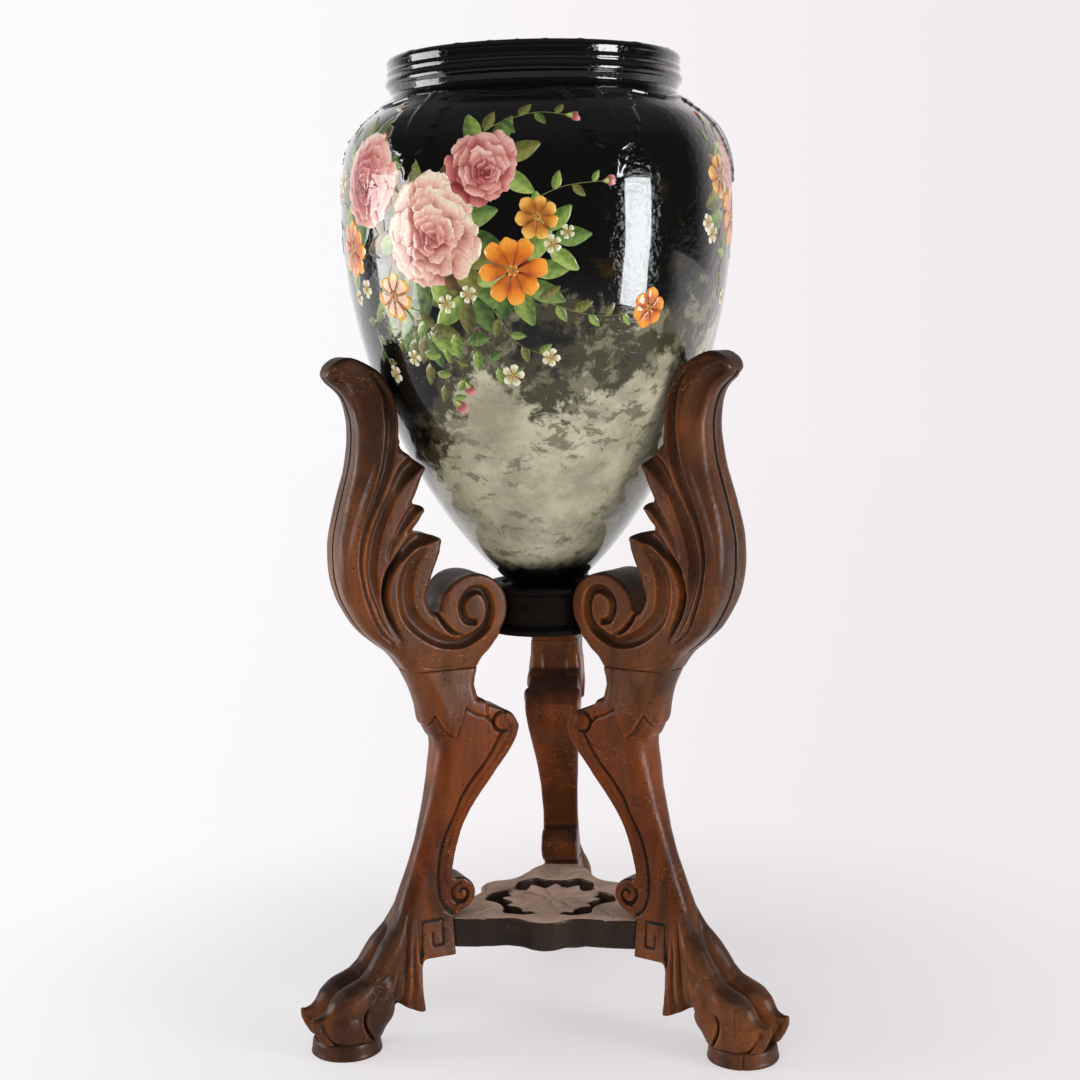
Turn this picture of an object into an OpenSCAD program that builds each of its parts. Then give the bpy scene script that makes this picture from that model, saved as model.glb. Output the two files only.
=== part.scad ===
// Tall glazed vase in a carved three-legged stand with paw feet.
// Millimetres, +Z up, the origin on the floor under the vase's axis.
// The back leg points along +Y and the two front legs lie 120 degrees to its sides.

/* [Vase] */
// Height of the vase from its foot to its rim
vase_h = 641; // [620:1:670]
// Radius of the vase at its widest
belly_r = 238; // [225:1:242]
// Height of the widest point above the vase's foot
belly_h = 460; // [440:1:480]
// Radius of the flat foot
vase_foot_r = 39; // [30:1:46]
// Radius of the neck under the rim
neck_r = 173.5; // [160:0.5:185]
// Height of the moulded rim above the neck
rim_h = 44; // [36:1:52]
// How far the rim's rounded bead stands out from the neck
bead_out = 6.5; // [3:0.5:10]
// Thickness of the vase's wall
vase_wall = 10; // [7:0.5:14]
// Thickness of the vase's floor
vase_floor = 24; // [14:1:30]

/* [Cup block] */
// Height of the cup block's underside above the floor
cup_z = 500; // [480:1:520]
// Height of the turned cup block
cup_h = 60; // [54:1:66]
// Radius of the cup block's waist
cup_r = 68; // [62:0.5:72]
// Height of the square-edged flanges above and below the waist
flange_h = 8; // [5:0.5:10]
// How far the flanges stand out from the waist
flange_out = 6; // [3:0.5:8]
// Radius of the shallow dish for the vase's foot
dish_r = 52; // [48:0.5:56]
// Depth of the dish
dish_h = 3; // [2:0.5:6]

/* [Legs] */
// Thickness of the upper leg's stock
leg_t = 75; // [66:1:82]
// Thickness at the curled tip of the upper leg
tip_t = 46; // [40:1:60]
// Thickness at the collar joint
collar_t = 62; // [54:1:66]
// Thickness of the shin at its thinnest
shin_t = 48; // [42:1:54]
// Width of the paw
paw_w = 86; // [76:1:94]
// Height of the collar joint between upper and lower leg
collar_z = 465; // [458:1:470]
// Radius of the big volute beside the cup block
volute_r = 43; // [41:0.5:45]
// How deep the volute is let over the cup block's waist
cope = 2; // [1:0.5:4]
// How far the outer corners of a leg are eased
ease = 18; // [10:1:20]
// Depth of the carved grooves
carve = 3.5; // [2:0.5:6]
// Width of the carved grooves
groove_w = 5; // [3:0.5:8]

/* [Shelf] */
// Height of the shelf's underside above the floor
shelf_z = 115; // [110:0.5:118]
// Thickness of the shelf
shelf_h = 37; // [32:0.5:40]
// Distance from the stand's axis to the end of each shelf arm
shelf_r = 143; // [136:1:150]
// How far the shelf's edge draws in between its arms
waist_in = 48; // [42:1:50]
// Width of each of the three crescent openings in the shelf
crescent_w = 18; // [12:0.5:20]
// Radius of the carved rosette in the middle of the shelf
rosette_r = 55; // [50:1:58]
// Depth of the recessed ground round the rosette's boss
rosette_cut = 6; // [3:0.5:10]
// Width of one of the rosette's twelve leaves
leaf_w = 14; // [10:0.5:18]
// Radius of the rosette's boss
boss_r = 15; // [10:0.5:20]

/* [Foot pads] */
// Distance from the stand's axis to the middle of each pad
pad_at = 279; // [270:1:288]
// Radius of a pad at the floor
pad_r = 44; // [38:0.5:48]
// How much smaller a pad's top is than its base
pad_taper = 3; // [1:0.5:5]
// Height of a pad
pad_h = 20; // [16:0.5:24]

/* [Dowels] */
// Diameter of the glued dowels in the legs and cup block
dowel_d = 14; // [10:0.5:16]
// Diameter of the glued dowels in the shelf
shelf_dowel_d = 9; // [7:0.5:11]
// Depth of a dowel's hole in each of the two pieces that it joins
dowel_in = 28; // [20:1:32]
// Distance between the two dowels of a collar joint
collar_dowels_apart = 35; // [30:1:38]
// Glue room between a dowel and its hole, all round
glue_gap = 0.1; // [0.05:0.05:0.3]

/* [Hidden] */
leg_angles = [210, 330, 90];
round_fn = 96;
far = 400;
// Running clearance kept between the vase's wall and the carved brackets
vase_clear = 2;
foot_z = cup_z + cup_h - dish_h;

// Curves: a point on a cubic Bezier arc, a run of such points, and a smooth line through given points
function bezier_at(p, t) = pow(1 - t, 3) * p[0] + 3 * pow(1 - t, 2) * t * p[1]
                         + 3 * (1 - t) * t * t * p[2] + pow(t, 3) * p[3];
function bezier(p, n) = [for (i = [0:n]) bezier_at(p, i / n)];
function blend_at(a, b, c, d, t) = 0.5 * ((2 * b) + (c - a) * t + (2 * a - 5 * b + 4 * c - d) * t * t
                                 + (3 * b - a - 3 * c + d) * t * t * t);
function smooth(p, n = 3) = let (m = len(p) - 1)
    [for (i = [0:m - 1]) for (k = [0:n - 1])
         blend_at(p[max(i - 1, 0)], p[i], p[i + 1], p[min(i + 2, m)], k / n), p[m]];
function arc(c, r, a0, a1, n) = [for (i = [0:n]) let (a = a0 + (a1 - a0) * i / n) c + r * [cos(a), sin(a)]];
function reversed(p) = [for (i = [len(p) - 1:-1:0]) p[i]];

// Legs are drawn in side view as [distance from the stand's axis, height] for the hub, collar and block
// places below, and leg_pt moves each point with the places that are set now.
hub_drawn = [109, 538];
collar_drawn = 465;
block_drawn = [143, 107];
block_h = 46;
block_w = 43;
// The volute's middle lies this far above the cup block's underside
hub_up = 38;
// The square block reaches this far below the shelf
block_drop = 8;
hub = [cup_r - cope + volute_r, cup_z + hub_up];
block = [shelf_r, shelf_z - block_drop];
function share(z) = min(max((z - block_drawn[1] - block_h) / (collar_drawn - block_drawn[1] - block_h), 0), 1);
function shift(z) = z > collar_drawn
    ? [hub[0] - hub_drawn[0],
       let (t = min((z - collar_drawn) / 30, 1))
           (collar_z - collar_drawn) * (1 - t) + (hub[1] - hub_drawn[1]) * t]
    : [(hub[0] - hub_drawn[0]) * share(z) + (block[0] - block_drawn[0]) * (1 - share(z)),
       (collar_z - collar_drawn) * share(z) + (block[1] - block_drawn[1]) * (1 - share(z))];
function leg_pt(p) = p + shift(p[1]);
function leg_line(p) = [for (q = p) leg_pt(q)];

// Paws are drawn for a pad of this place and top, and move with the pad that is set now
pad_drawn = [279, 20];
function paw_pt(p) = let (t = min(max((p[1] - pad_drawn[1]) / 90, 0), 1))
    p + (1 - t) * [pad_at - pad_drawn[0], pad_h - pad_drawn[1]] + t * shift(p[1]);
function paw_line(p) = [for (q = p) paw_pt(q)];
// Height of the ankle above the pad
ankle_up = 78;

// Side view of the upper leg, each smooth edge up to its next corner
collar_out = [193, 465];
collar_in = [105, 465];
back_edge = [collar_out, [207, 485], [223, 498], [239, 512], [251, 527], [260, 542], [268, 559], [274, 582],
             [276, 608], [274, 635], [265, 671], [253, 713], [248, 750], [250, 777], [259, 801], [277, 817]];
tip_edge = [[277, 817], [281, 826], [272, 839], [254, 846], [232, 838]];
throat_edge = [[232, 838], [217, 828], [207, 813], [200, 797], [198, 776], [198, 755], [200, 736]];
flame_one = [[200, 736], [171, 709], [174, 697], [180, 682], [187, 669]];
flame_two = [[187, 669], [169, 666], [174, 655], [181, 645], [190, 636]];
flame_three = [[190, 636], [153, 629], [151, 617], [154, 605], [161, 588], [168, 568], [171, 552],
               [162, 535]];
neck_edge = [[81, 496], [89, 485], [98, 477], collar_in];

// Side view of the lower leg
nape_edge = [collar_out, [184, 449], [177, 435], [172, 418], [169, 403], [166, 391], [161, 381]];
shin_edge = [[156, 381], [157, 365], [160, 345], [164, 320], [170, 293], [177, 266], [185, 239], [194, 214],
             [205, 185], [215, 164], [224, 148]];
instep_edge = [[224, 148], [236, 127], [248, 106], [260, 94], [273, 88], [286, 82], [296, 71], [307, 59],
               [319, 52]];
claw_edge = [[319, 52], [324, 43], [321, 31], [314, 20]];
heel_edge = [[242, 20], [232, 27], [223, 39], [218, 54]];
tail_edge = [[218, 54], [207, 49], [196, 45], [187, 44]];
tail_back = [[187, 44], [189, 60], [189, 80], [187, 98]];
scroll_edge = [[53, 388], [57, 373], [66, 357], [80, 339], [93, 321], [107, 303], [120, 283], [129, 264],
               [136, 243], [140, 225], [143, 209]];
knee_edge = [[108, 425], [92, 418], [76, 411], [62, 404], [53, 388]];
knee_in = [[105, 465], [110, 450], [111, 440], [108, 425]];
foot_hub = [134, 182];
foot_scroll_r = 21;

// The volute's rim, from the neck up over the top and down to the flames
volute_rim = arc(hub, volute_r, 216, 0, 36);
upper_back = leg_line(smooth(back_edge));
upper_tip = leg_line(smooth([for (i = [1:3]) tip_edge[i]]));
upper_outline = concat(upper_back, leg_line(smooth(tip_edge)), leg_line(smooth(throat_edge)),
                       leg_line(smooth(flame_one)), leg_line(smooth(flame_two)), leg_line(smooth(flame_three)),
                       reversed(volute_rim), leg_line(smooth(neck_edge)));
lower_back = concat(leg_line(smooth(nape_edge)), leg_line(smooth(shin_edge)));
lower_outline = concat(lower_back, paw_line(smooth(instep_edge)),
                       paw_line(smooth(claw_edge)), paw_line(smooth(heel_edge)), paw_line(smooth(tail_edge)),
                       paw_line(smooth(tail_back)),
                       [leg_pt(block_drawn + [block_w, 0]), leg_pt(block_drawn),
                        leg_pt(block_drawn + [0, block_h])],
                       arc(leg_pt(foot_hub), foot_scroll_r, 262, 70, 18),
                       leg_line(reversed(smooth(scroll_edge))), leg_line(reversed(smooth(knee_edge))),
                       leg_line(reversed(smooth(knee_in))));

lower_back_up = reversed(lower_back);

// Front view of a leg: half its thickness at each height
upper_front = [[collar_t / 2, collar_z], [leg_t / 2 - 2, leg_pt([0, 500])[1]], [leg_t / 2, leg_pt([0, 560])[1]],
               [leg_t / 2, leg_pt([0, 700])[1]], [leg_t / 2 - 4, leg_pt([0, 770])[1]],
               [tip_t / 2 + 4, leg_pt([0, 815])[1]], [tip_t / 2, leg_pt([0, 850])[1]]];
lower_front = [[paw_w / 2 - 8, 0], [paw_w / 2 - 3, pad_h], [paw_w / 2, pad_h + 18],
               [paw_w / 2 - 2, pad_h + 48],
               [shin_t / 2 + 8, pad_h + ankle_up], [shin_t / 2, leg_pt([0, 140])[1]],
               [shin_t / 2, leg_pt([0, 215])[1]],
               [shin_t / 2 + 2, leg_pt([0, 290])[1]], [collar_t / 2 + 2, leg_pt([0, 370])[1]],
               [collar_t / 2 + 4, leg_pt([0, 395])[1]], [collar_t / 2, leg_pt([0, 428])[1]],
               [collar_t / 2, collar_z]];

// The outer corners are eased at 45 degrees, as far as ease, all along the back and the shin,
// from a little below the edge's first point
function half_at(z, front) = lookup(z, [for (p = front) [p[1], p[0]]]);
module eased(edge, front) {
    first = edge[0];
    top = edge[len(edge) - 1][1];
    starts = concat([first - [0, 2 * ease]], edge);
    intersection_for (s = [-1, 1])
        rotate([0, 0, 45 * s]) slab(2 * far)
            polygon(concat([[-far, starts[0][1]]],
                           [for (p = starts) [(p[0] + half_at(p[1], front) - ease) * cos(45), p[1]]],
                           [[-far, top]]));
}

// Carved lines on the faces of the legs, from end to end
strip_line = [[228, 826], [219, 814], [211, 797], [209, 773], [210, 753], [215, 720], [226, 690], [236, 667],
              [244, 647], [250, 625], [252, 600], [250, 578], [244, 556], [232, 532], [216, 507]];
flame_line = [[196, 718], [202, 696], [210, 685], [218, 666], [229, 646], [236, 626], [240, 605], [239, 582],
              [234, 561], [224, 535], [208, 506]];
fold_line = [[196, 622], [209, 603], [217, 592], [222, 577], [223, 562], [221, 545], [214, 527], [206, 511]];
inner_line = [[178, 613], [190, 596], [196, 581], [198, 566], [196, 550], [190, 534], [178, 519]];
under_line = [[178, 519], [164, 510], [146, 500], [126, 500], [109, 505], [96, 515], [89, 530]];
band_line = [[74, 379], [87, 361], [101, 341], [114, 325], [128, 304], [139, 280], [150, 256], [157, 230],
             [160, 205], [159, 183], [153, 167], [143, 157]];
key_line = [[187, 111], [185, 152], [158, 152], [159, 123], [172, 122], [172, 137]];
brow_line = [[97, 404], [110, 408], [124, 417], [128, 400], [138, 381], [150, 390], [162, 402]];
function spiral(c, r0, r1, a0, a1, n) = [for (i = [0:n]) let (t = i / n, a = a0 + (a1 - a0) * t)
                                         c + (r0 + (r1 - r0) * t) * [cos(a), sin(a)]];
volute_line = spiral(hub, volute_r / 2, volute_r / 2 - 6, 195, -80, 24);

// A groove's outline: a band of the given width along a line
function side_of(p, i) = let (a = p[max(i - 1, 0)], b = p[min(i + 1, len(p) - 1)], d = b - a, m = norm(d))
    [-d[1] / m, d[0] / m];
function band(p, w) = concat([for (i = [0:len(p) - 1]) p[i] + side_of(p, i) * w / 2],
                             [for (i = [len(p) - 1:-1:0]) p[i] - side_of(p, i) * w / 2]);

// Lays a side view into the plane of a leg, as thick as t, and turns it to its leg's place
module slab(t) {
    translate([0, t / 2, 0]) rotate([90, 0, 0]) linear_extrude(t) children();
}
module front_of(points) {
    rotate([90, 0, 90]) linear_extrude(far)
        polygon(concat(points, [for (p = reversed(points)) [-p[0], p[1]]]));
}
// Cuts a line into both faces, where the leg's half thickness is half_t
module carved(line, half_t, w) {
    for (s = [-1, 1])
        translate([0, s * half_t, 0]) slab(2 * carve) polygon(band(line, w));
}
// A rounded form from a to b, in the plane of the leg, as fat as r
module egg(a, b, r) {
    d = b - a;
    l = norm(d) / 2;
    mid = (a + b) / 2;
    half = [for (i = [0:12]) let (t = 180 * i / 12) [r * sin(t), -l * cos(t)]];
    translate([mid[0], 0, mid[1]]) rotate([0, 90 - atan2(d[1], d[0]), 0])
        rotate_extrude($fn = 32) polygon(concat([[0, -l]], [for (i = [1:11]) half[i]], [[0, l]]));
}

// Outline of the vase from its foot to its rim, and its inside. The handles of its two curves lie out from
// the foot, up from the foot, down and up from the widest point, and out and down from the neck.
foot_flare = 83;
foot_rise = 65;
belly_down = 212;
belly_up = 117;
neck_flare = 25;
neck_down = 38;
inner_ease = 5;
// The rim's lower bead lies this far above the neck, and its upper bead this far in
bead_up = 14;
rim_lean = 2;
body_curve = concat(bezier([[vase_foot_r, 0], [vase_foot_r + foot_flare, foot_rise],
                            [belly_r, belly_h - belly_down], [belly_r, belly_h]], 22),
                    bezier([[belly_r, belly_h], [belly_r, belly_h + belly_up],
                            [neck_r + neck_flare, vase_h - rim_h - neck_down], [neck_r, vase_h - rim_h]], 14));
rim_curve = concat(arc([neck_r, vase_h - rim_h + bead_up], bead_out, -60, 75, 8),
                   arc([neck_r - rim_lean, vase_h - bead_out], bead_out, -50, 90, 8));
inner_curve = concat([[0, vase_floor]],
                     bezier([[vase_foot_r - vase_wall, vase_floor],
                             [vase_foot_r + foot_flare - vase_wall, vase_floor + foot_rise - 2 * inner_ease],
                             [belly_r - vase_wall, belly_h - belly_down], [belly_r - vase_wall, belly_h]], 22),
                     bezier([[belly_r - vase_wall, belly_h],
                             [belly_r - vase_wall, belly_h + belly_up - inner_ease],
                             [neck_r + neck_flare - inner_ease - vase_wall,
                              vase_h - rim_h - neck_down - inner_ease],
                             [neck_r - vase_wall, vase_h - rim_h]], 14),
                     [[neck_r - vase_wall, vase_h + 1], [0, vase_h + 1]]);
vase_outline = concat([[0, 0]], body_curve, rim_curve, [[0, rim_curve[len(rim_curve) - 1][1]]]);
vase_room = concat([[0, 0]], [for (p = body_curve) p + [vase_clear, 0]], [[0, vase_h - rim_h]]);

module vase() {
    color("darkslategray") translate([0, 0, foot_z])
        difference() {
            rotate_extrude($fn = round_fn) polygon(vase_outline);
            rotate_extrude($fn = round_fn) polygon(inner_curve);
        }
}

// The cup block's turned form, which the volutes are coped to fit
module cup_form() {
    translate([0, 0, cup_z]) {
        cylinder(r = cup_r + flange_out, h = flange_h, $fn = round_fn);
        cylinder(r = cup_r, h = cup_h, $fn = round_fn);
        translate([0, 0, cup_h - flange_h]) cylinder(r = cup_r + flange_out, h = flange_h, $fn = round_fn);
    }
}
module cup_block() {
    color("#171413")
        difference() {
            cup_form();
            translate([0, 0, foot_z]) cylinder(r = dish_r, h = dish_h + 1, $fn = round_fn);
            for (a = leg_angles) rotate([0, 0, a]) cup_rod(1);
        }
}

// Holes and dowels share one place and size: pass grow = 0 for the dowel and 1 for its hole
module rod(d, h, grow) {
    translate([0, 0, -grow * glue_gap])
        cylinder(d = d + 2 * grow * glue_gap, h = h + 2 * grow * glue_gap, $fn = 32);
}
module cup_rod(grow) {
    translate([cup_r - cope - dowel_in, 0, hub[1]]) rotate([0, 90, 0]) rod(dowel_d, 2 * dowel_in, grow);
}
// The leg is narrower a dowel's depth below the collar joint, so the dowels are centred there
collar_narrow = [[111, 437], [177, 437]];
collar_mid = (leg_pt(collar_narrow[0])[0] + leg_pt(collar_narrow[1])[0]) / 2;
module collar_rods(grow) {
    for (s = [-1, 1])
        translate([collar_mid + s * collar_dowels_apart / 2, 0, collar_z - dowel_in])
            rod(dowel_d, 2 * dowel_in, grow);
}
module shelf_rods(grow) {
    for (s = [-1, 1])
        translate([shelf_r - dowel_in, s * shelf_dowel_d, shelf_z + shelf_h / 2]) rotate([0, 90, 0])
            rod(shelf_dowel_d, 2 * dowel_in, grow);
}
pad_dowel_in = pad_h - 4;
module pad_rod(grow) {
    translate([pad_at, 0, pad_h - pad_dowel_in]) rod(dowel_d, 2 * pad_dowel_in, grow);
}

module leg_upper() {
    difference() {
        intersection() {
            slab(leg_t + 2) polygon(upper_outline);
            front_of(upper_front);
            eased(concat(upper_back, upper_tip), upper_front);
        }
        translate([0, 0, foot_z]) rotate_extrude($fn = round_fn) polygon(vase_room);
        cup_form();
        cup_rod(1);
        collar_rods(1);
        carved(leg_line(smooth(strip_line, 2)), leg_t / 2, groove_w);
        carved(leg_line(smooth(flame_line, 2)), leg_t / 2, groove_w);
        carved(leg_line(smooth(fold_line, 2)), leg_t / 2, groove_w);
        carved(leg_line(smooth(inner_line, 2)), leg_t / 2, groove_w);
        carved(leg_line(smooth(under_line, 2)), leg_t / 2 - 1, groove_w);
        carved(volute_line, leg_t / 2, groove_w);
    }
}

module toe() {
    egg(paw_pt([210, 134]), paw_pt([262, 62]), 18);
    egg(paw_pt([248, 76]), paw_pt([310, 34]), 21);
    egg(paw_pt([304, 64]), paw_pt([328, 24]), 8);
}
toe_out = paw_w / 4;
module leg_lower() {
    difference() {
        union() {
            intersection() {
                slab(2 * paw_w) polygon(lower_outline);
                front_of(lower_front);
                union() {
                    eased(lower_back_up, lower_front);
                    translate([-far, -paw_w, 0]) cube([2 * far, 2 * paw_w, lower_back_up[0][1]]);
                }
                union() {
                    translate([-far / 2, -paw_w, pad_h + ankle_up]) cube([far * 1.2, 2 * paw_w, far]);
                    translate([pad_at - 8, 0, 0]) cylinder(r = paw_w / 2 + 10, h = far / 2, $fn = round_fn);
                    translate([0, -shin_t / 2, 0]) cube([pad_at, shin_t, far / 2]);
                }
            }
            for (s = [-1, 1]) translate([0, s * toe_out, 0])
                intersection() {
                    toe();
                    translate([0, -paw_w, pad_h]) cube([far, 2 * paw_w, far]);
                }
        }
        shelf_rods(1);
        collar_rods(1);
        pad_rod(1);
        carved(leg_line(smooth(band_line, 2)), shin_t / 2 + 4, groove_w);
        carved(leg_line(key_line), shin_t / 2 + 1.5, groove_w / 2);
        carved(leg_line(brow_line), collar_t / 2 + 3, groove_w);
    }
}

// Chamfer round a pad's base
pad_edge = 1.5;
module foot_pad() {
    translate([pad_at, 0, 0])
        difference() {
            rotate_extrude($fn = round_fn)
                polygon([[0, 0], [pad_r - pad_edge, 0], [pad_r, pad_edge], [pad_r - pad_taper, pad_h],
                         [0, pad_h]]);
            translate([-pad_at, 0, 0]) pad_rod(1);
        }
}

// Plan of the shelf as [angle from a leg, distance from the axis], for one side of one leg
shelf_half_w = shin_t / 2;
edge_plan = [[17.7, shelf_r - 0.38 * waist_in], [22, shelf_r - 0.6 * waist_in], [30, shelf_r - 0.9 * waist_in],
             [38, shelf_r - waist_in], [45, shelf_r - 0.96 * waist_in], [52, shelf_r - 0.83 * waist_in],
             [60, shelf_r - 0.77 * waist_in]];
function polar(p) = p[1] * [cos(p[0]), sin(p[0])];
half_edge = concat([[shelf_r, shelf_half_w]], [for (p = smooth(edge_plan, 2)) polar(p)]);
function turned(p, a) = [p[0] * cos(a) - p[1] * sin(a), p[0] * sin(a) + p[1] * cos(a)];
function flipped(p) = [for (q = reversed(p)) [q[0], -q[1]]];
arm_edge = concat(flipped(half_edge), half_edge);
shelf_plan = concat([for (q = arm_edge) turned(q, 90)], [for (q = arm_edge) turned(q, 210)],
                    [for (q = arm_edge) turned(q, 330)]);
// One of the three crescent openings, between an arm's leaf and the rosette
pocket_tip = [52, rosette_r + crescent_w / 2];
pocket_out = [pocket_tip, [40, rosette_r + 1.17 * crescent_w], [30, rosette_r + 1.44 * crescent_w],
              [19, rosette_r + 1.55 * crescent_w], [10, rosette_r + 0.94 * crescent_w],
              [0, rosette_r + 0.78 * crescent_w]];
pocket_in = [[0, rosette_r + 0.11 * crescent_w], [14, rosette_r - 0.22 * crescent_w], [26, rosette_r],
             [38, rosette_r - 0.06 * crescent_w], pocket_tip];
function inner_part(p) = [for (i = [1:len(p) - 2]) p[i]];
pocket_half = [for (p = smooth(pocket_out, 2)) polar(p)];
rosette_half = [for (p = smooth(pocket_in, 2)) polar(p)];
pocket = concat(pocket_half, inner_part(flipped(pocket_half)), flipped(rosette_half), inner_part(rosette_half));

leaves = 12;
leaf_wide_at = 0.64 * rosette_r;
// Width of the flat rim round the rosette's recessed ground
rosette_rim = 0.22 * rosette_r;

module shelf() {
    color("#4a3a2c")
        difference() {
            translate([0, 0, shelf_z]) linear_extrude(shelf_h) polygon(shelf_plan);
            for (a = leg_angles) rotate([0, 0, a]) {
                translate([0, 0, shelf_z - 1]) linear_extrude(shelf_h + 2) polygon(pocket);
                shelf_rods(1);
            }
            translate([0, 0, shelf_z + shelf_h - rosette_cut])
                difference() {
                    cylinder(r = rosette_r - rosette_rim, h = rosette_cut + 1, $fn = round_fn);
                    cylinder(r = boss_r, h = rosette_cut + 1, $fn = round_fn);
                    for (i = [0:leaves - 1]) rotate([0, 0, 360 / leaves * i])
                        linear_extrude(rosette_cut + 1)
                            polygon([[boss_r - 2, -0.22 * leaf_w], [leaf_wide_at, -leaf_w / 2], [rosette_r, 0],
                                     [leaf_wide_at, leaf_w / 2], [boss_r - 2, 0.22 * leaf_w]]);
                }
        }
}

module upper_at(i) {
    color("#5d351c") rotate([0, 0, leg_angles[i]]) leg_upper();
}
module lower_at(i) {
    color("#653a1e") rotate([0, 0, leg_angles[i]]) leg_lower();
}
module pad_at_leg(i) {
    color("#3b2618") rotate([0, 0, leg_angles[i]]) foot_pad();
}
module cup_dowels() {
    color("burlywood") for (a = leg_angles) rotate([0, 0, a]) cup_rod(0);
}
module leg_dowels() {
    color("burlywood") for (a = leg_angles) rotate([0, 0, a]) collar_rods(0);
}
module shelf_dowels() {
    color("burlywood") for (a = leg_angles) rotate([0, 0, a]) shelf_rods(0);
}
module pad_dowels() {
    color("burlywood") for (a = leg_angles) rotate([0, 0, a]) pad_rod(0);
}

vase();
cup_block();
upper_at(0);  // leg_left_upper
upper_at(1);  // leg_right_upper
upper_at(2);  // leg_back_upper
lower_at(0);  // leg_left_lower
lower_at(1);  // leg_right_lower
lower_at(2);  // leg_back_lower
pad_at_leg(0);  // foot_pad_left
pad_at_leg(1);  // foot_pad_right
pad_at_leg(2);  // foot_pad_back
shelf();
cup_dowels();
leg_dowels();
shelf_dowels();
pad_dowels();
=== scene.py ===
"""A glazed floor vase with painted flowers, standing in a carved walnut tripod.

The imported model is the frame: it says where every piece stands and what it rides on. This script dresses it.
Legs are drawn in side view, in millimetres, as [distance from the stand's axis, height]. Each is thickened
to a plank, rounded and carved, and turned to its place. The vase is spun, and its flowers are thin raised
petals laid on its wall.
"""

import math
import random

import bmesh
import bpy
import numpy as np
from bpy.props import FloatProperty, FloatVectorProperty, IntProperty, PointerProperty
from bpy.types import Operator, Panel, PropertyGroup
from mathutils import Matrix, Vector, noise


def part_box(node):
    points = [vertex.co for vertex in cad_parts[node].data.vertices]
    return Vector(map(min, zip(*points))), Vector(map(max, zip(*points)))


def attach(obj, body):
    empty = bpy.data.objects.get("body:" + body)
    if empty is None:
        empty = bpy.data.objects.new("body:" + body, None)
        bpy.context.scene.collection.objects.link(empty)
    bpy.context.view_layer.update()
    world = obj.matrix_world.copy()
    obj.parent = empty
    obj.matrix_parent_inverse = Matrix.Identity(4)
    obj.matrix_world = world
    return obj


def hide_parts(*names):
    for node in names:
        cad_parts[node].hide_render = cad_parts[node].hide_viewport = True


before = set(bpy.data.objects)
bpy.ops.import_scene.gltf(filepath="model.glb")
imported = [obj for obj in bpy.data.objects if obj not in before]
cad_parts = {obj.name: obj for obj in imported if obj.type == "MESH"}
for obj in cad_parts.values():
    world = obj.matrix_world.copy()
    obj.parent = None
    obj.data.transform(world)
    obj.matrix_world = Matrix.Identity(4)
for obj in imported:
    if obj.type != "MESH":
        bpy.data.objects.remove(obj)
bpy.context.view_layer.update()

bl_info = {
    "name": "Vase on Tripod Stand",
    "version": (1, 0, 0),
    "blender": (4, 5, 0),
    "location": "View3D > Sidebar > Tripod",
    "description": "Builds a glazed vase in a carved tripod stand round its packed frame",
    "category": "Object",
}

MM = 0.001

# Places of the three legs, as angles round the stand's axis
LEGS = {"left": 210.0, "right": 330.0, "back": 90.0}

# Heights and radii that the carving shares with the frame, in millimetres
HUB = (109.0, 538.0)
VOLUTE_R = 43.0
CUP_LOW, CUP_HIGH = (corner.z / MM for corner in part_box("cup_block"))
SHELF_LOW, SHELF_HIGH = (corner.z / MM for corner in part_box("shelf"))
PAD_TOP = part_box("foot_pad_back")[1].z / MM
PAD_AT = (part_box("foot_pad_back")[0].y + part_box("foot_pad_back")[1].y) / 2 / MM
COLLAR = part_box("leg_back_upper")[0].z / MM
VASE_FOOT, VASE_TOP = (corner.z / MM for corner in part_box("vase"))
BELLY_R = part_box("vase")[1].x / MM

# Thickness of a leg's plank before it is brought to its true thickness, in millimetres
STOCK = 80.0
# Length of the chisel's slow strays on the legs and on the shelf, and the shelf's grid, in metres
LEG_STRAY = 0.022
SHELF_STRAY = 0.018
SHELF_GRID = 0.0017
# Rise over the smoothed surface that counts as a full ridge, in metres
FULL_RELIEF = 0.0031
# Half the width of the dark line in a thin cut, in millimetres
DARK_LINE_HALF = 1.5


# Settings that a user would change

class StandSettings(PropertyGroup):
    walnut_light: FloatVectorProperty(
        name="Walnut, light", description="Colour of the open, rubbed walnut", subtype="COLOR",
        default=(0.172, 0.051, 0.0128), min=0.0, max=1.0)
    walnut_dark: FloatVectorProperty(
        name="Walnut, dark", description="Colour of the walnut's dark grain", subtype="COLOR",
        default=(0.040, 0.0145, 0.0065), min=0.0, max=1.0)
    # The hollow colour also serves as the painted shade in the carving's hollows and on the upward faces.
    hollow_dark: FloatVectorProperty(
        name="Hollows", description="Colour of old wax and dust in the carving", subtype="COLOR",
        default=(0.012, 0.006, 0.004), min=0.0, max=1.0)
    shelf_light: FloatVectorProperty(
        name="Shelf", description="Colour of the shelf's dusty top", subtype="COLOR",
        default=(0.040, 0.023, 0.015), min=0.0, max=1.0)
    rough_voxel: FloatProperty(
        name="Rough cut", description="Grid of the first, rough shape of a leg", unit="LENGTH",
        default=0.0030, min=0.002, max=0.006)
    fine_voxel: FloatProperty(
        name="Fine cut", description="Grid of a leg's finished carving", unit="LENGTH",
        default=0.0015, min=0.001, max=0.004)
    tool_wobble: FloatProperty(
        name="Tool wobble", description="How far the chisel strayed", unit="LENGTH",
        default=0.0004, min=0.0, max=0.002)


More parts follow.
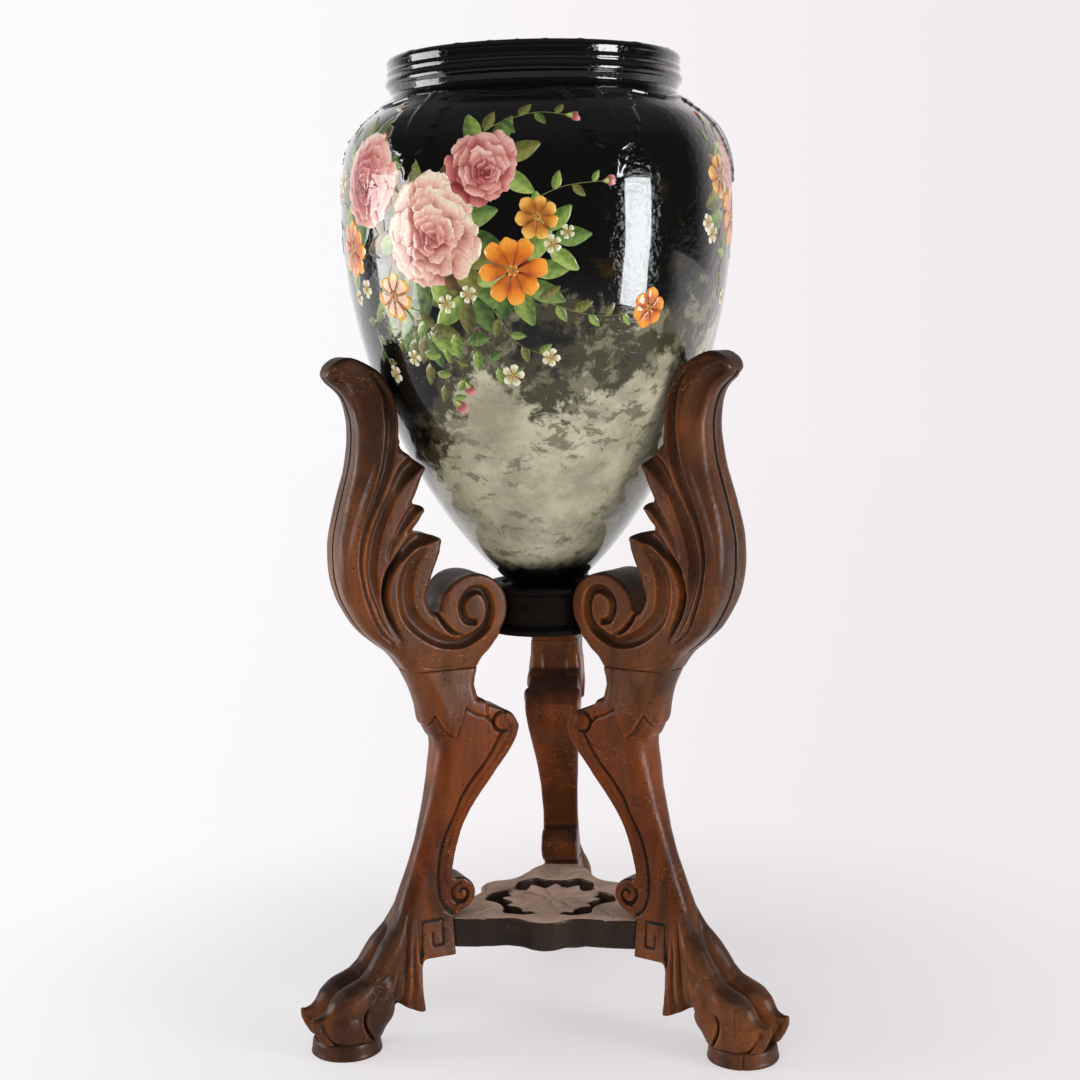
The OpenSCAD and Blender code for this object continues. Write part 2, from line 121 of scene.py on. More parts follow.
class VaseSettings(PropertyGroup):
    night: FloatVectorProperty(
        name="Dark glaze", description="Colour of the glaze at the shoulder", subtype="COLOR",
        default=(0.0035, 0.0035, 0.003), min=0.0, max=1.0)
    olive: FloatVectorProperty(
        name="Olive glaze", description="Colour of the clouds between dark and pale", subtype="COLOR",
        default=(0.050, 0.042, 0.022), min=0.0, max=1.0)
    celadon: FloatVectorProperty(
        name="Pale glaze", description="Colour of the glaze near the foot", subtype="COLOR",
        default=(0.30, 0.275, 0.185), min=0.0, max=1.0)
    ripple: FloatProperty(
        name="Ripple", description="Height of the slow waves in the thrown wall", unit="LENGTH",
        default=0.00025, min=0.0, max=0.002)
    turns: IntProperty(
        name="Steps", description="Steps of the spin round the axis", default=336, min=48, max=512)


class FlowerSettings(PropertyGroup):
    relief: FloatProperty(
        name="Relief", description="How far the painted slip stands off the wall", unit="LENGTH",
        default=0.0013, min=0.0003, max=0.0025)
    seed: IntProperty(
        name="Seed", description="Seed of the loose turns and tints of the petals", default=11, min=0)


class StageSettings(PropertyGroup):
    floor: FloatVectorProperty(
        name="Floor", description="Colour of the pale floor", subtype="COLOR",
        default=(0.93, 0.915, 0.925), min=0.0, max=1.0)
    lens: FloatProperty(
        name="Lens", description="Focal length of the photograph's camera on a 36 mm frame",
        default=62.19, min=20.0, max=200.0)
    distance: FloatProperty(
        name="Distance", description="Distance of the camera from the stand's axis", unit="LENGTH",
        default=2.3133, min=1.0, max=6.0)
    height: FloatProperty(
        name="Height", description="Height of the camera above the floor", unit="LENGTH",
        default=0.8942, min=0.0, max=3.0)


# Lines and distances in the side view of a leg

def arc(centre, radius, start, end, steps):
    """Points of a circle from one angle to another, in degrees."""
    turns = np.radians(np.linspace(start, end, steps + 1))
    return np.stack([centre[0] + radius * np.cos(turns), centre[1] + radius * np.sin(turns)], axis=1)


def spiral(centre, first, last, start, end, steps=40):
    """Points of a spiral whose radius runs evenly from first to last, between two angles in degrees."""
    turns = np.radians(np.linspace(start, end, steps + 1))
    radii = np.linspace(first, last, steps + 1)
    return np.stack([centre[0] + radii * np.cos(turns), centre[1] + radii * np.sin(turns)], axis=1)


def smooth(points, step=2.5):
    """A rounded curve through the points, with a new point about every step millimetres."""
    p = np.asarray(points, float)
    ends = np.vstack([p[:1], p, p[-1:]])
    out = []
    for a, b, c, d in zip(ends[:-3], ends[1:-2], ends[2:-1], ends[3:]):
        count = max(1, int(round(np.linalg.norm(c - b) / step)))
        for t in np.arange(count) / count:
            out.append(0.5 * (2 * b + (c - a) * t + (2 * a - 5 * b + 4 * c - d) * t * t
                              + (3 * b - a - 3 * c + d) * t ** 3))
    out.append(p[-1])
    return np.array(out)


def drawn(line):
    """A line that was worked out as an array, as it is, or a smooth curve through a list of points."""
    return line if isinstance(line, np.ndarray) else smooth(line)


def nearest(points, line, reach):
    """For each point, its distance from the line, and the share of the line that lies before that place.

    Only points within reach of the line's box are measured. The others count as far away."""
    low, high = line.min(axis=0) - reach, line.max(axis=0) + reach
    near = np.all((points > low) & (points < high), axis=1)
    distance = np.full(len(points), 1e6)
    along = np.zeros(len(points))
    if not near.any():
        return distance, along
    q = points[near]
    lengths = np.linalg.norm(np.diff(line, axis=0), axis=1)
    before = np.concatenate([[0.0], np.cumsum(lengths)])
    best = np.full(len(q), 1e6)
    share = np.zeros(len(q))
    for i, (a, b) in enumerate(zip(line[:-1], line[1:])):
        if lengths[i] < 1e-9:
            continue
        t = np.clip(((q - a) @ (b - a)) / lengths[i] ** 2, 0.0, 1.0)
        d = np.linalg.norm(q - a - t[:, None] * (b - a), axis=1)
        closer = d < best
        best[closer] = d[closer]
        share[closer] = (before[i] + t[closer] * lengths[i]) / before[-1]
    distance[near] = best
    along[near] = share
    return distance, along


def spread(values, along):
    """A value that runs evenly through the given ones along a line."""
    return np.interp(along, np.linspace(0, 1, len(values)), values)


def read_off(x, line):
    """The second number of a line of pairs, where the first is x."""
    return np.interp(x, *zip(*line))


def ramp(x, low, high):
    """0 below low, 1 above high, and a smooth step between."""
    t = np.clip((x - low) / (high - low), 0.0, 1.0)
    return t * t * (3 - 2 * t)


def fading(distance, reach):
    """1 at no distance, falling evenly to 0 at the reach."""
    return np.clip(1 - distance / reach, 0, 1)


def quarter_round(share):
    """How deep a rounded edge is cut, from 1 on the edge to 0 where the rounding starts."""
    return 1 - np.sqrt(1 - share ** 2)


# Side view of the upper leg, corner to corner

COLLAR_OUT = (193, 465)
COLLAR_IN = (105, 465)
BACK_EDGE = [COLLAR_OUT, (207, 485), (223, 498), (239, 512), (251, 527), (260, 542), (268, 559), (274, 582),
             (276, 608), (274, 635), (265, 671), (253, 713), (248, 750), (250, 777), (259, 801), (277, 817)]
TIP_EDGE = [(277, 817), (281, 826), (272, 839), (254, 846), (232, 838)]
THROAT_EDGE = [(232, 838), (217, 828), (207, 813), (200, 797), (198, 776), (198, 755), (200, 736)]
FLAME_ONE = [(200, 738), (169, 716), (172, 702), (179, 684), (187, 669)]
FLAME_TWO = [(187, 669), (169, 666), (174, 655), (181, 645), (190, 636)]
FLAME_THREE = [(190, 636), (153, 629), (151, 617), (154, 605), (161, 588), (168, 568), (171, 552), (162, 535)]
NECK_EDGE = [(81, 496), (89, 485), (98, 477), COLLAR_IN]
VOLUTE_RIM = arc(HUB, VOLUTE_R, 0, 216, 40)

# Half the leg's thickness at each height
UPPER_HALF = [(465, 31), (500, 35.5), (560, 37.5), (700, 37.5), (770, 33.5), (815, 27), (850, 23)]
LOWER_HALF = [(0, 33), (20, 38), (38, 40), (68, 38), (98, 31), (140, 24.5), (161, 22), (224, 20.5), (263, 22),
              (299, 25), (345, 29.5), (385, 32.5), (405, 33.5), (428, 31.5), (445, 30), (465, 31)]

# Side view of the lower leg
NAPE_EDGE = [COLLAR_OUT, (184, 449), (177, 435), (172, 418), (169, 403), (166, 391), (161, 381)]
SHIN_EDGE = [(157, 379), (157, 365), (160, 345), (164, 320), (170, 293), (177, 266), (185, 239), (194, 214),
             (205, 185), (213, 164)]
WEB_EDGE = [(213, 164), (219, 146), (227, 128), (238, 108), (250, 91), (267, 76), (284, 62), (297, 47),
            (304, 34), (304, 14)]
HEEL_EDGE = [(238, 14), (232, 27), (223, 39), (218, 54)]
TAIL_EDGE = [(218, 54), (207, 49), (196, 45), (187, 44)]
TAIL_BACK = [(187, 44), (189, 60), (189, 80), (187, 98)]
BLOCK = np.array([(186, 107), (143, 107), (143, 153)], float)
FOOT_SCROLL = arc((134, 182), 21, 262, 70, 20)
SCROLL_EDGE = [(143, 209), (140, 225), (136, 243), (129, 264), (120, 283), (107, 303), (93, 321), (80, 339),
               (66, 357), (57, 373), (53, 388)]
KNEE_EDGE = [(53, 388), (62, 404), (76, 411), (92, 418), (108, 425)]
KNEE_IN = [(108, 425), (111, 440), (110, 450), COLLAR_IN]

# How a leg's edges are rounded: the edge, how far in from it the rounding starts, and how deep it goes
UPPER_EDGES = [
    (BACK_EDGE, (16, 16, 16, 17, 19, 23, 31, 36, 38), (17, 17, 17, 18, 19, 20, 19, 18, 17)),
    (TIP_EDGE[:4], (30, 12, 6), (24, 10, 5)),
    (TIP_EDGE[2:], 5, 4),
    (THROAT_EDGE, 5, 5),
    (FLAME_ONE[:2], (4, 5, 3), (4, 6, 3)),
    (FLAME_ONE[1:], (3, 7, 8, 8), (3, 6, 7, 7)),
    (FLAME_TWO[:2], (4, 4, 3), (4, 5, 3)),
    (FLAME_TWO[1:], (3, 6, 7), (3, 5, 6)),
    (FLAME_THREE[:2], (4, 4, 3), (4, 5, 3)),
    (FLAME_THREE[1:], (3, 5, 6), (3, 5, 5)),
    (NECK_EDGE, 8, 6),
    (VOLUTE_RIM, 2.6, 2.2),
]
LOWER_EDGES = [
    (NAPE_EDGE, (16, 20, 22), (25, 27, 24)),
    (SHIN_EDGE, (22, 22, 21, 17), (24, 19, 17, 15)),
    (WEB_EDGE, 22, 20),
    (HEEL_EDGE, 34, 32),
    (TAIL_EDGE, 5, 3),
    (TAIL_BACK, 4, 4),
    (BLOCK, 1.4, 1.4),
    (FOOT_SCROLL, 2, 1.8),
    (SCROLL_EDGE, 2.2, 1.8),
    (KNEE_EDGE, 2.4, 2),
    (KNEE_IN, 7, 5),
]

# Gouge cuts in the sides of the upper leg: the line, the cut's width, and its depth
UPPER_CUTS = {
    "rim flute": ([(229, 827), (219, 814), (211, 797), (209, 771), (209, 753), (215, 720), (227, 688),
                   (244, 647), (251, 618), (252, 596), (247, 565), (232, 523), (215, 505)],
                  (4, 12, 15, 14, 11, 8, 6, 5, 4), (2, 6.5, 7.5, 7, 6, 5, 4, 2.5)),
    "cove by the back": ([(226, 728), (234, 700), (250, 655), (261, 612), (260, 572), (246, 536),
                          (234, 519)], (8, 15, 17, 16, 13, 9), (0, 3.2, 3.8, 3.4, 2.8, 0)),
    "wide flute": ([(197, 709), (210, 685), (229, 646), (238, 614), (240, 590), (234, 561), (220, 527),
                    (205, 502)], (9, 15, 17, 16, 13, 9), (3, 7.5, 8.5, 8, 6, 1)),
    "fold": ([(198, 644), (212, 625), (219, 607)], (6, 9, 6), (2, 4, 1)),
    "crevice": ([(196, 622), (209, 603), (219, 587), (224, 562), (217, 535), (204, 507)],
                (9, 11, 10, 9, 6), (8, 13, 13, 11, 3)),
    "inner flute": ([(176, 615), (190, 596), (198, 571), (194, 540), (178, 519), (154, 503), (129, 498),
                     (109, 505), (94, 518), (89, 537), (95, 556), (107, 562), (119, 557), (126, 543),
                     (121, 526), (110, 522)],
                    (12, 19, 21, 21, 19, 16, 14.5, 13, 12.5, 11.5, 9),
                    (4, 8, 9.5, 9.5, 9.5, 10, 10, 10, 9.5, 8.5, 7)),
    "crease": ([(160, 540), (150, 524), (138, 512), (124, 505)], (5, 7, 6), (8, 9, 5)),
    "first tongue": ([(168, 726), (184, 717), (199, 702), (209, 686)], (20, 23, 15), (13, 11, 5)),
    "second tongue": ([(168, 669), (184, 664), (196, 650), (206, 636)], (11, 13, 9), (8, 7, 4)),
    "third tongue": ([(156, 636), (175, 630), (190, 622), (204, 608)], (20, 22, 13), (17, 14, 6)),
    "head dish": ([(268, 824), (256, 819), (243, 803), (234, 775), (230, 745)],
                  (15, 21, 21, 16), (5, 6.5, 5, 0)),
    "collar line": ([(204, 487), (188, 477), (170, 470), (150, 468), (128, 470), (112, 476)],
                    (2.2, 2.6, 2.2), (1.0, 1.5, 1.0)),
}

# Cuts in the sides of the lower leg
LOWER_CUTS = {
    "band": ([(76, 382), (87, 361), (101, 341), (115, 325), (129, 304), (139, 280), (151, 256), (158, 230),
              (161, 205), (160, 184), (154, 167), (144, 158)],
             (5, 4.5, 4.5, 4, 4), (4, 3.6, 3.4, 3.4, 3)),
    "knee ring": (arc((74, 395), 13, 75, -110, 16), (2, 4.5, 5, 4.5, 2), (2, 5, 6, 5, 3)),
    "knee crescent": (arc((74, 396), 8.4, 120, 215, 10), (1, 2.6, 1), (0.4, 2, 0.4)),
    "brow": ([(97, 404), (91, 398), (87, 394)], (4, 5), (3, 5)),
    "foot spiral": (spiral((131, 182), 14, 4.5, 80, -330), (2, 4, 5, 5, 4, 3), (1, 4, 5, 5, 4, 2)),
    "key": (np.array([(187, 111), (185, 153), (158, 153), (159, 123), (172, 122), (172, 138)]),
            (3, 3), (2.2, 2.2)),
    "block edge": ([(190, 158), (190, 138), (189, 105)], (3, 4, 5), (1.5, 3, 5)),
    "tail flute": ([(201, 162), (206, 118), (210, 92), (214, 60), (215, 44)], (3, 7, 9, 9), (1, 4.5, 6, 5)),
    "tail edge flute": ([(193, 158), (197, 117), (199, 90), (202, 60), (203, 42)],
                        (2, 5, 7, 7), (0.6, 3, 3.6, 3)),
    "tail side": ([(209, 140), (213, 112), (218, 84), (223, 56)], (4, 9, 14, 16), (0.3, 1.5, 4, 8)),
    "heel slit": ([(259, 64), (266, 53), (267, 42), (263, 31), (256, 20)],
                  (1.5, 4, 4.5, 4, 3.5), (1, 7, 9, 8, 7)),
    "under the toes": ([(292, 14), (302, 20), (310, 29), (316, 40), (320, 51)],
                       (2, 3.4, 3.8, 3.2, 2), (1, 3, 4, 3, 1)),
    "claw flute": ([(303, 15), (311, 23), (317, 33), (322, 45)], (2, 2.4, 2.4, 2), (0.5, 1.6, 1.6, 0.5)),
}
# The cuts painted dark along their whole length: old grime and painted shade in the narrow cut
DARK_LINES = ("band", "knee ring", "foot spiral", "key")
# The cuff's zigzag lower edge, which stands proud of the leg under it
CUFF_EDGE = [(97, 404), (110, 408), (124, 417), (129, 399), (138, 381), (150, 391), (162, 412), (172, 381)]
CUFF_PROUD = 3.4
CUFF_LINE_DEEP = 1.2
# The domes in the eyes of the knee's and the foot's scroll: place, radius and height
SCROLL_EYES = (((74, 395), 11.0, 2.2), ((131, 182), 9.0, 1.8))
# The scroll's band stands proud of the leg's sides: how wide it is, and how far it stands out
BAND_WIDE = 10.0
BAND_PROUD = 2.6
# The fine line down a bracket's back: half its width, and its depth
VEIN_HALF = 2.9
VEIN_DEEP = 5.0

# A toe's backbone: distance out, distance to the side, height, radius
TOE = [(188, 8, 206, 3.5), (194, 9, 188, 5.5), (200, 10.5, 171, 8), (206.5, 12.5, 154, 10.5),
       (212, 14, 140, 13), (218, 15.5, 129, 16), (226, 17, 119, 16.8), (235, 18.5, 108, 15.6),
       (245, 20, 95, 14.2), (256, 21, 82, 15.6), (267, 21.5, 73, 19.2), (279, 21.5, 66, 21.4),
       (290, 21.5, 60, 18.6), (301, 21.5, 53, 12.6), (311, 21.5, 49, 8.8), (321, 21.5, 49, 5.8)]
# The soft swellings beside and under a toe: place and radii
TOE_BULKS = [((287, 22, 40), (31, 19, 26)), ((262, 21, 58), (29, 18, 27)), ((238, 19, 74), (25, 17, 28)),
             ((219, 14, 98), (15, 17, 28))]
# A claw's backbone, from its tip down, as a toe's
CLAW = [(327, 21.5, 52, 3.4), (325, 21.5, 45, 5), (320, 21.5, 36, 6.2), (313, 21.5, 27, 7.2),
        (303, 21.5, 18, 8)]


# Meshes: from numbers to Blender and back

def placed(name, data):
    """A new object in the scene for a mesh, a lamp or a camera."""
    obj = bpy.data.objects.new(name, data)
    bpy.context.scene.collection.objects.link(obj)
    return obj


def as_mesh(name, bm):
    """The bmesh's shape as a new mesh."""
    mesh = bpy.data.meshes.new(name)
    bm.to_mesh(mesh)
    bm.free()
    return mesh


def vectors_of(mesh, key):
    flat = np.empty(len(mesh.vertices) * 3)
    mesh.vertices.foreach_get(key, flat)
    return flat.reshape(-1, 3)


def points_of(mesh):
    return vectors_of(mesh, "co")


def normals_of(mesh):
    return vectors_of(mesh, "normal")


def set_points(mesh, points):
    mesh.vertices.foreach_set("co", np.ascontiguousarray(points, dtype=np.float32).ravel())
    mesh.update()


def remeshed(mesh, voxel):
    """The mesh's solid, rebuilt on an even grid."""
    obj = placed("remesh", mesh)
    grid = obj.modifiers.new("Grid", "REMESH")
    grid.mode = "VOXEL"
    grid.voxel_size = voxel
    bpy.context.view_layer.update()
    shape = bpy.data.meshes.new_from_object(obj.evaluated_get(bpy.context.evaluated_depsgraph_get()))
    bpy.data.objects.remove(obj)
    bpy.data.meshes.remove(mesh)
    return shape


def relaxed(mesh, passes, factor=0.5):
    """Smooths the mesh's points towards their neighbours."""
    bm = bmesh.new()
    bm.from_mesh(mesh)
    for _ in range(passes):
        bmesh.ops.smooth_vert(bm, verts=bm.verts, factor=factor, use_axis_x=True, use_axis_y=True,
                              use_axis_z=True)
    bm.to_mesh(mesh)
    bm.free()


def mark_relief(mesh, passes=6, seam=None, groove=0.0):
    """Writes how far each point lies under or over the smoothed surface, as attributes hollow and ridge.

    Points by a seam's height are left plain, and groove marks hollows that are finer than the grid."""
    before = points_of(mesh)
    soft = mesh.copy()
    relaxed(soft, passes, 1.0)
    after = points_of(soft)
    bpy.data.meshes.remove(soft)
    rise = np.sum((before - after) * normals_of(mesh), axis=1) / FULL_RELIEF
    if seam is not None:
        rise *= ramp(np.abs(before[:, 2] / MM - seam), 1.5, 5.0)
    for name, values in (("hollow", np.maximum(-rise, groove)), ("ridge", rise)):
        layer = mesh.attributes.new(name, "FLOAT", "POINT")
        layer.data.foreach_set("value", np.clip(values, 0, 1).astype(np.float32))


def let_stray(mesh, size, height):
    """Adds slow noise to a mesh's points, as a hand tool leaves."""
    points = points_of(mesh)
    strays = [noise.noise_vector(Vector(p / size)) for p in points]
    set_points(mesh, points + np.array(strays) * height)


def rounding(side, edges):
    """How far a leg's side is cut back near its edges, in millimetres."""
    cut = np.zeros(len(side))
    for line, inward, deep in edges:
        inward, deep = np.atleast_1d(inward), np.atleast_1d(deep)
        distance, along = nearest(side, smooth(line), max(inward))
        cut = np.maximum(cut, spread(deep, along) * quarter_round(fading(distance, spread(inward, along))))
    return cut


def gouging(side, cuts):
    """How deep the gouges cut into a leg's side, in millimetres."""
    depth = np.zeros(len(side))
    for line, widths, depths in cuts.values():
        distance, along = nearest(side, drawn(line), max(widths))
        half = spread(widths, along) / 2
        depth = np.maximum(depth, spread(depths, along) * fading(distance ** 2, half ** 2))
    return depth


def pulled(bm, step):
    """Pulls a bmesh's flat faces out to a solid, along a step."""
    grown = bmesh.ops.extrude_face_region(bm, geom=bm.faces[:])["geom"]
    moved = [g for g in grown if isinstance(g, bmesh.types.BMVert)]
    bmesh.ops.translate(bm, verts=moved, vec=step)
    bmesh.ops.recalc_face_normals(bm, faces=bm.faces)


def plank(outline):
    """A side view in millimetres, thickened evenly about the leg's middle plane."""
    bm = bmesh.new()
    kept = [p for i, p in enumerate(outline) if np.linalg.norm(p - outline[i - 1]) > 0.2]
    bm.faces.new([bm.verts.new((r * MM, -STOCK * MM / 2, z * MM)) for r, z in kept])
    pulled(bm, (0, STOCK * MM, 0))
    return as_mesh("plank", bm)


def rough_leg(outline, half, edges, settings):
    """A leg's plank with its rounded edges and its true thickness, before carving."""
    mesh = remeshed(plank(outline), settings.rough_voxel)
    p = points_of(mesh) / MM
    room = read_off(p[:, 2], half) - rounding(p[:, (0, 2)], edges)
    p[:, 1] = np.clip(p[:, 1] / (STOCK / 2), -1, 1) * np.maximum(room, 1.0)
    set_points(mesh, p * MM)
    return mesh


def add_ball(bm, place, radii, segments=20):
    """An ellipsoid of the given radii about a place, in millimetres."""
    made = bmesh.ops.create_uvsphere(bm, u_segments=segments, v_segments=segments // 2, radius=1.0)["verts"]
    matrix = Matrix.Translation(Vector(place) * MM) @ Matrix.Diagonal((*(Vector(radii) * MM), 1.0))
    bmesh.ops.transform(bm, matrix=matrix, verts=made)


def add_backbone(bm, backbone, side, step=2.5):
    """A row of balls along a backbone, near enough to each other to be one form when remeshed."""
    rows = np.array(backbone, float)
    beads = []
    for a, b in zip(rows[:-1], rows[1:]):
        count = max(1, int(np.linalg.norm(b[:3] - a[:3]) / step))
        beads += [a + (b - a) * t for t in np.arange(count) / count]
    for out, across, up, radius in (*beads, rows[-1]):
        add_ball(bm, (out, across * side, up), (radius, radius, radius), 14)


def add_toes(mesh):
    """The rough lower leg with its two toes, their soft sides and their claws."""
    toes = bpy.data.meshes.new("toes")
    whole = bmesh.new()
    whole.from_mesh(mesh)
    for side in (-1, 1):
        bm = bmesh.new()
        add_backbone(bm, TOE, side)
        add_backbone(bm, CLAW, side)
        for place, radii in TOE_BULKS:
            add_ball(bm, (place[0], place[1] * side, place[2]), radii)
        bm.to_mesh(toes)
        bm.free()
        whole.from_mesh(toes)
    bpy.data.meshes.remove(toes)
    whole.to_mesh(mesh)
    whole.free()


# Least half thickness that a cut is measured against, and the share of it that a cut may take
LEAST_ROOM = 6.0
DEEPEST_CUT = 0.6


def carved(mesh, half, edges, cuts, settings):
    """The rough leg on a fine grid, with its gouge cuts, softened as by old hand work."""
    mesh = remeshed(mesh, settings.fine_voxel)
    relaxed(mesh, 2)
    p = points_of(mesh) / MM
    side = p[:, (0, 2)]
    room = np.maximum(read_off(p[:, 2], half) - rounding(side, edges), LEAST_ROOM)
    p[:, 1] *= 1 - np.minimum(gouging(side, cuts) / room, DEEPEST_CUT)
    set_points(mesh, p * MM)
    return mesh


def cut_vein(mesh):
    """Cuts the fine line down a bracket's rounded back, and gives each point's share of its dark line, old
    grime and painted shade.
    """
    p = points_of(mesh) / MM
    line = smooth(BACK_EDGE[1:])
    distance, along = nearest(p[:, (0, 2)], line, 8.0)
    fall = fading(np.abs(p[:, 1]) ** 1.5, VEIN_HALF ** 1.5) * np.clip((6.0 - distance) / 2.0, 0, 1)
    depth = VEIN_DEEP * fall * np.clip(along / 0.06, 0, 1)
    slopes = np.gradient(line, axis=0)
    slopes /= np.linalg.norm(slopes, axis=1)[:, None]
    at = np.clip((along * (len(line) - 1)).round().astype(int), 0, len(line) - 1)
    inward = np.stack([-slopes[at, 1], slopes[at, 0]], axis=1)
    dirt_and_shade = ramp(VEIN_HALF + 1.0 - np.abs(p[:, 1]), 0.0, 1.2) * ramp(5.0 - distance, 0.0, 2.0)
    dirt_and_shade *= ramp(along, 0.0, 0.06)
    p[:, 0] += inward[:, 0] * depth
    p[:, 2] += inward[:, 1] * depth
    set_points(mesh, p * MM)
    return dirt_and_shade


def raise_band(mesh):
    """Lets the scroll's band and the knee's front stand proud of the leg's sides."""
    p = points_of(mesh) / MM
    line = np.vstack([FOOT_SCROLL, smooth(SCROLL_EDGE), smooth(KNEE_EDGE[:2])])
    distance, _ = nearest(p[:, (0, 2)], line, 30.0)
    proud = ramp(BAND_WIDE + 1.0 - distance, 0.0, 2.0)
    p[:, 1] *= 1 + proud * BAND_PROUD / read_off(p[:, 2], LOWER_HALF)
    set_points(mesh, p * MM)


def raise_cuff(mesh):
    """Lets the cuff stand proud of the leg under it, and puts a dome in each scroll's eye."""
    p = points_of(mesh) / MM
    r, z = p[:, 0], p[:, 2]
    over = z - read_off(r, CUFF_EDGE)
    beside = np.maximum(ramp(np.abs(p[:, 1]), 12, 20), ramp(r, 140, 155)) * ramp(r, 92, 100)
    above = ramp(over, -0.5, 1.2) * beside * ramp(470 - z, -10, 40)
    under = np.exp(-((over + 2.2) / 1.6) ** 2) * beside
    lift = CUFF_PROUD * above - CUFF_LINE_DEEP * under
    for (eye_r, eye_z), radius, high in SCROLL_EYES:
        away = np.hypot(r - eye_r, z - eye_z) / radius
        lift += high * np.sqrt(np.clip(1 - away ** 2, 0, 1))
    set_points(mesh, (p + normals_of(mesh) * lift[:, None]) * MM)


def thin_lines(mesh):
    """How much each point of the sides lies by one of the dark lines, from 0 to 1."""
    side = points_of(mesh)[:, (0, 2)] / MM
    lines = [np.array(LOWER_CUTS[name][0], float) for name in DARK_LINES]
    distance = np.min([nearest(side, line, 6.0)[0] for line in lines], axis=0)
    by_line = ramp(DARK_LINE_HALF - distance, 0.0, 0.7 * DARK_LINE_HALF)
    return by_line * ramp(np.abs(normals_of(mesh)[:, 1]), 0.4, 0.7)


def trimmed(mesh, height, keep_above):
    """Cuts the mesh flat at a height and closes it there."""
    bm = bmesh.new()
    bm.from_mesh(mesh)
    found = bm.verts[:] + bm.edges[:] + bm.faces[:]
    bmesh.ops.bisect_plane(bm, geom=found, dist=1e-6, plane_co=(0, 0, height * MM), plane_no=(0, 0, 1),
                           clear_inner=keep_above, clear_outer=not keep_above)
    rim = [e for e in bm.edges if e.is_boundary]
    bmesh.ops.holes_fill(bm, edges=rim, sides=0)
    bmesh.ops.recalc_face_normals(bm, faces=bm.faces)
    bm.to_mesh(mesh)
    bm.free()


def turned_copy(mesh, name, angle):
    """The leg's mesh turned to its place round the axis, as a smooth-shaded object."""
    shape = mesh.copy()
    shape.name = name
    shape.transform(Matrix.Rotation(math.radians(angle), 4, "Z"))
    shape.polygons.foreach_set("use_smooth", np.ones(len(shape.polygons), dtype=bool))
    return placed(name, shape)


def upper_leg_mesh(settings):
    """The bracket, from the collar to its curled head, in side view along +X."""
    edges = (BACK_EDGE, TIP_EDGE, THROAT_EDGE, FLAME_ONE, FLAME_TWO, FLAME_THREE, VOLUTE_RIM, NECK_EDGE)
    mesh = rough_leg(np.vstack([drawn(edge) for edge in edges]), UPPER_HALF, UPPER_EDGES, settings)
    mesh = carved(mesh, UPPER_HALF, UPPER_EDGES, UPPER_CUTS, settings)
    relaxed(mesh, 1, 0.4)
    let_stray(mesh, LEG_STRAY, settings.tool_wobble)
    trimmed(mesh, COLLAR, True)
    mark_relief(mesh, seam=COLLAR, groove=cut_vein(mesh))
    return mesh


def lower_leg_mesh(settings):
    """The paw leg, from its pad to the collar, in side view along +X."""
    edges = (NAPE_EDGE, SHIN_EDGE, WEB_EDGE, HEEL_EDGE, TAIL_EDGE, TAIL_BACK, BLOCK, FOOT_SCROLL, SCROLL_EDGE,
             KNEE_EDGE, KNEE_IN)
    mesh = rough_leg(np.vstack([drawn(edge) for edge in edges]), LOWER_HALF, LOWER_EDGES, settings)
    add_toes(mesh)
    mesh = carved(mesh, LOWER_HALF, LOWER_EDGES, LOWER_CUTS, settings)
    raise_band(mesh)
    raise_cuff(mesh)
    relaxed(mesh, 1, 0.4)
    let_stray(mesh, LEG_STRAY, settings.tool_wobble)
    trimmed(mesh, PAD_TOP, True)
    trimmed(mesh, COLLAR, False)
    mark_relief(mesh, seam=COLLAR, groove=thin_lines(mesh))
    return mesh


# Turned and sawn pieces

def spun(name, profile, steps):
    """A profile of [radius, height] in millimetres, spun round the Z axis, with its poles closed."""
    bm = bmesh.new()
    verts = [bm.verts.new((r * MM, 0, z * MM)) for r, z in profile]
    edges = [bm.edges.new(pair) for pair in zip(verts[:-1], verts[1:])]
    bmesh.ops.spin(bm, geom=verts + edges, axis=(0, 0, 1), cent=(0, 0, 0), angle=math.tau, steps=steps,
                   use_merge=True)
    bmesh.ops.remove_doubles(bm, verts=bm.verts, dist=1e-6)
    bmesh.ops.recalc_face_normals(bm, faces=bm.faces)
    for face in bm.faces:
        face.smooth = True
    return as_mesh(name, bm)


def round_place(points):
    """Angles round the axis, in degrees, and distances from it."""
    return np.degrees(np.arctan2(points[:, 1], points[:, 0])), np.hypot(points[:, 0], points[:, 1])


# A flange of the cup block, as (radius, distance in from the block's end), and the dish for the vase's foot
FLANGE = [(69, 0), (72.5, 1), (74, 4), (73, 7.5), (69, 10), (66, 13)]
COVE_R = 65.3
COVE_IN = 20
WAIST_R = 66.4
DISH = [(0, 3), (51.5, 3), (52, 2.6), (52.6, 0.4), (53.4, 0)]


def cup_mesh():
    """The turned spool: two rounded flanges, a cove by each, and the dish that the vase stands in."""
    low, high = CUP_LOW, CUP_HIGH
    dish, upper = ([(r, high - depth) for r, depth in line] for line in (DISH, FLANGE))
    lower = [(r, low + depth) for r, depth in reversed(FLANGE)]
    waist = [upper[-1], (COVE_R, high - COVE_IN), (WAIST_R, (low + high) / 2), (COVE_R, low + COVE_IN),
             lower[0]]
    profile = np.vstack([dish, smooth(upper, 1), smooth(waist, 2)[1:], smooth(lower, 1)[1:], [(0, low)]])
    return spun("turned_cup", profile, CUP_STEPS)


CUP_STEPS = 160
PAD_STEPS = 120
# The pad's drying crack: its angle, half its width in degrees, and its depth
PAD_CRACK_AT = -60.0
PAD_CRACK_HALF = 2.2
PAD_CRACK_DEEP = 2.6


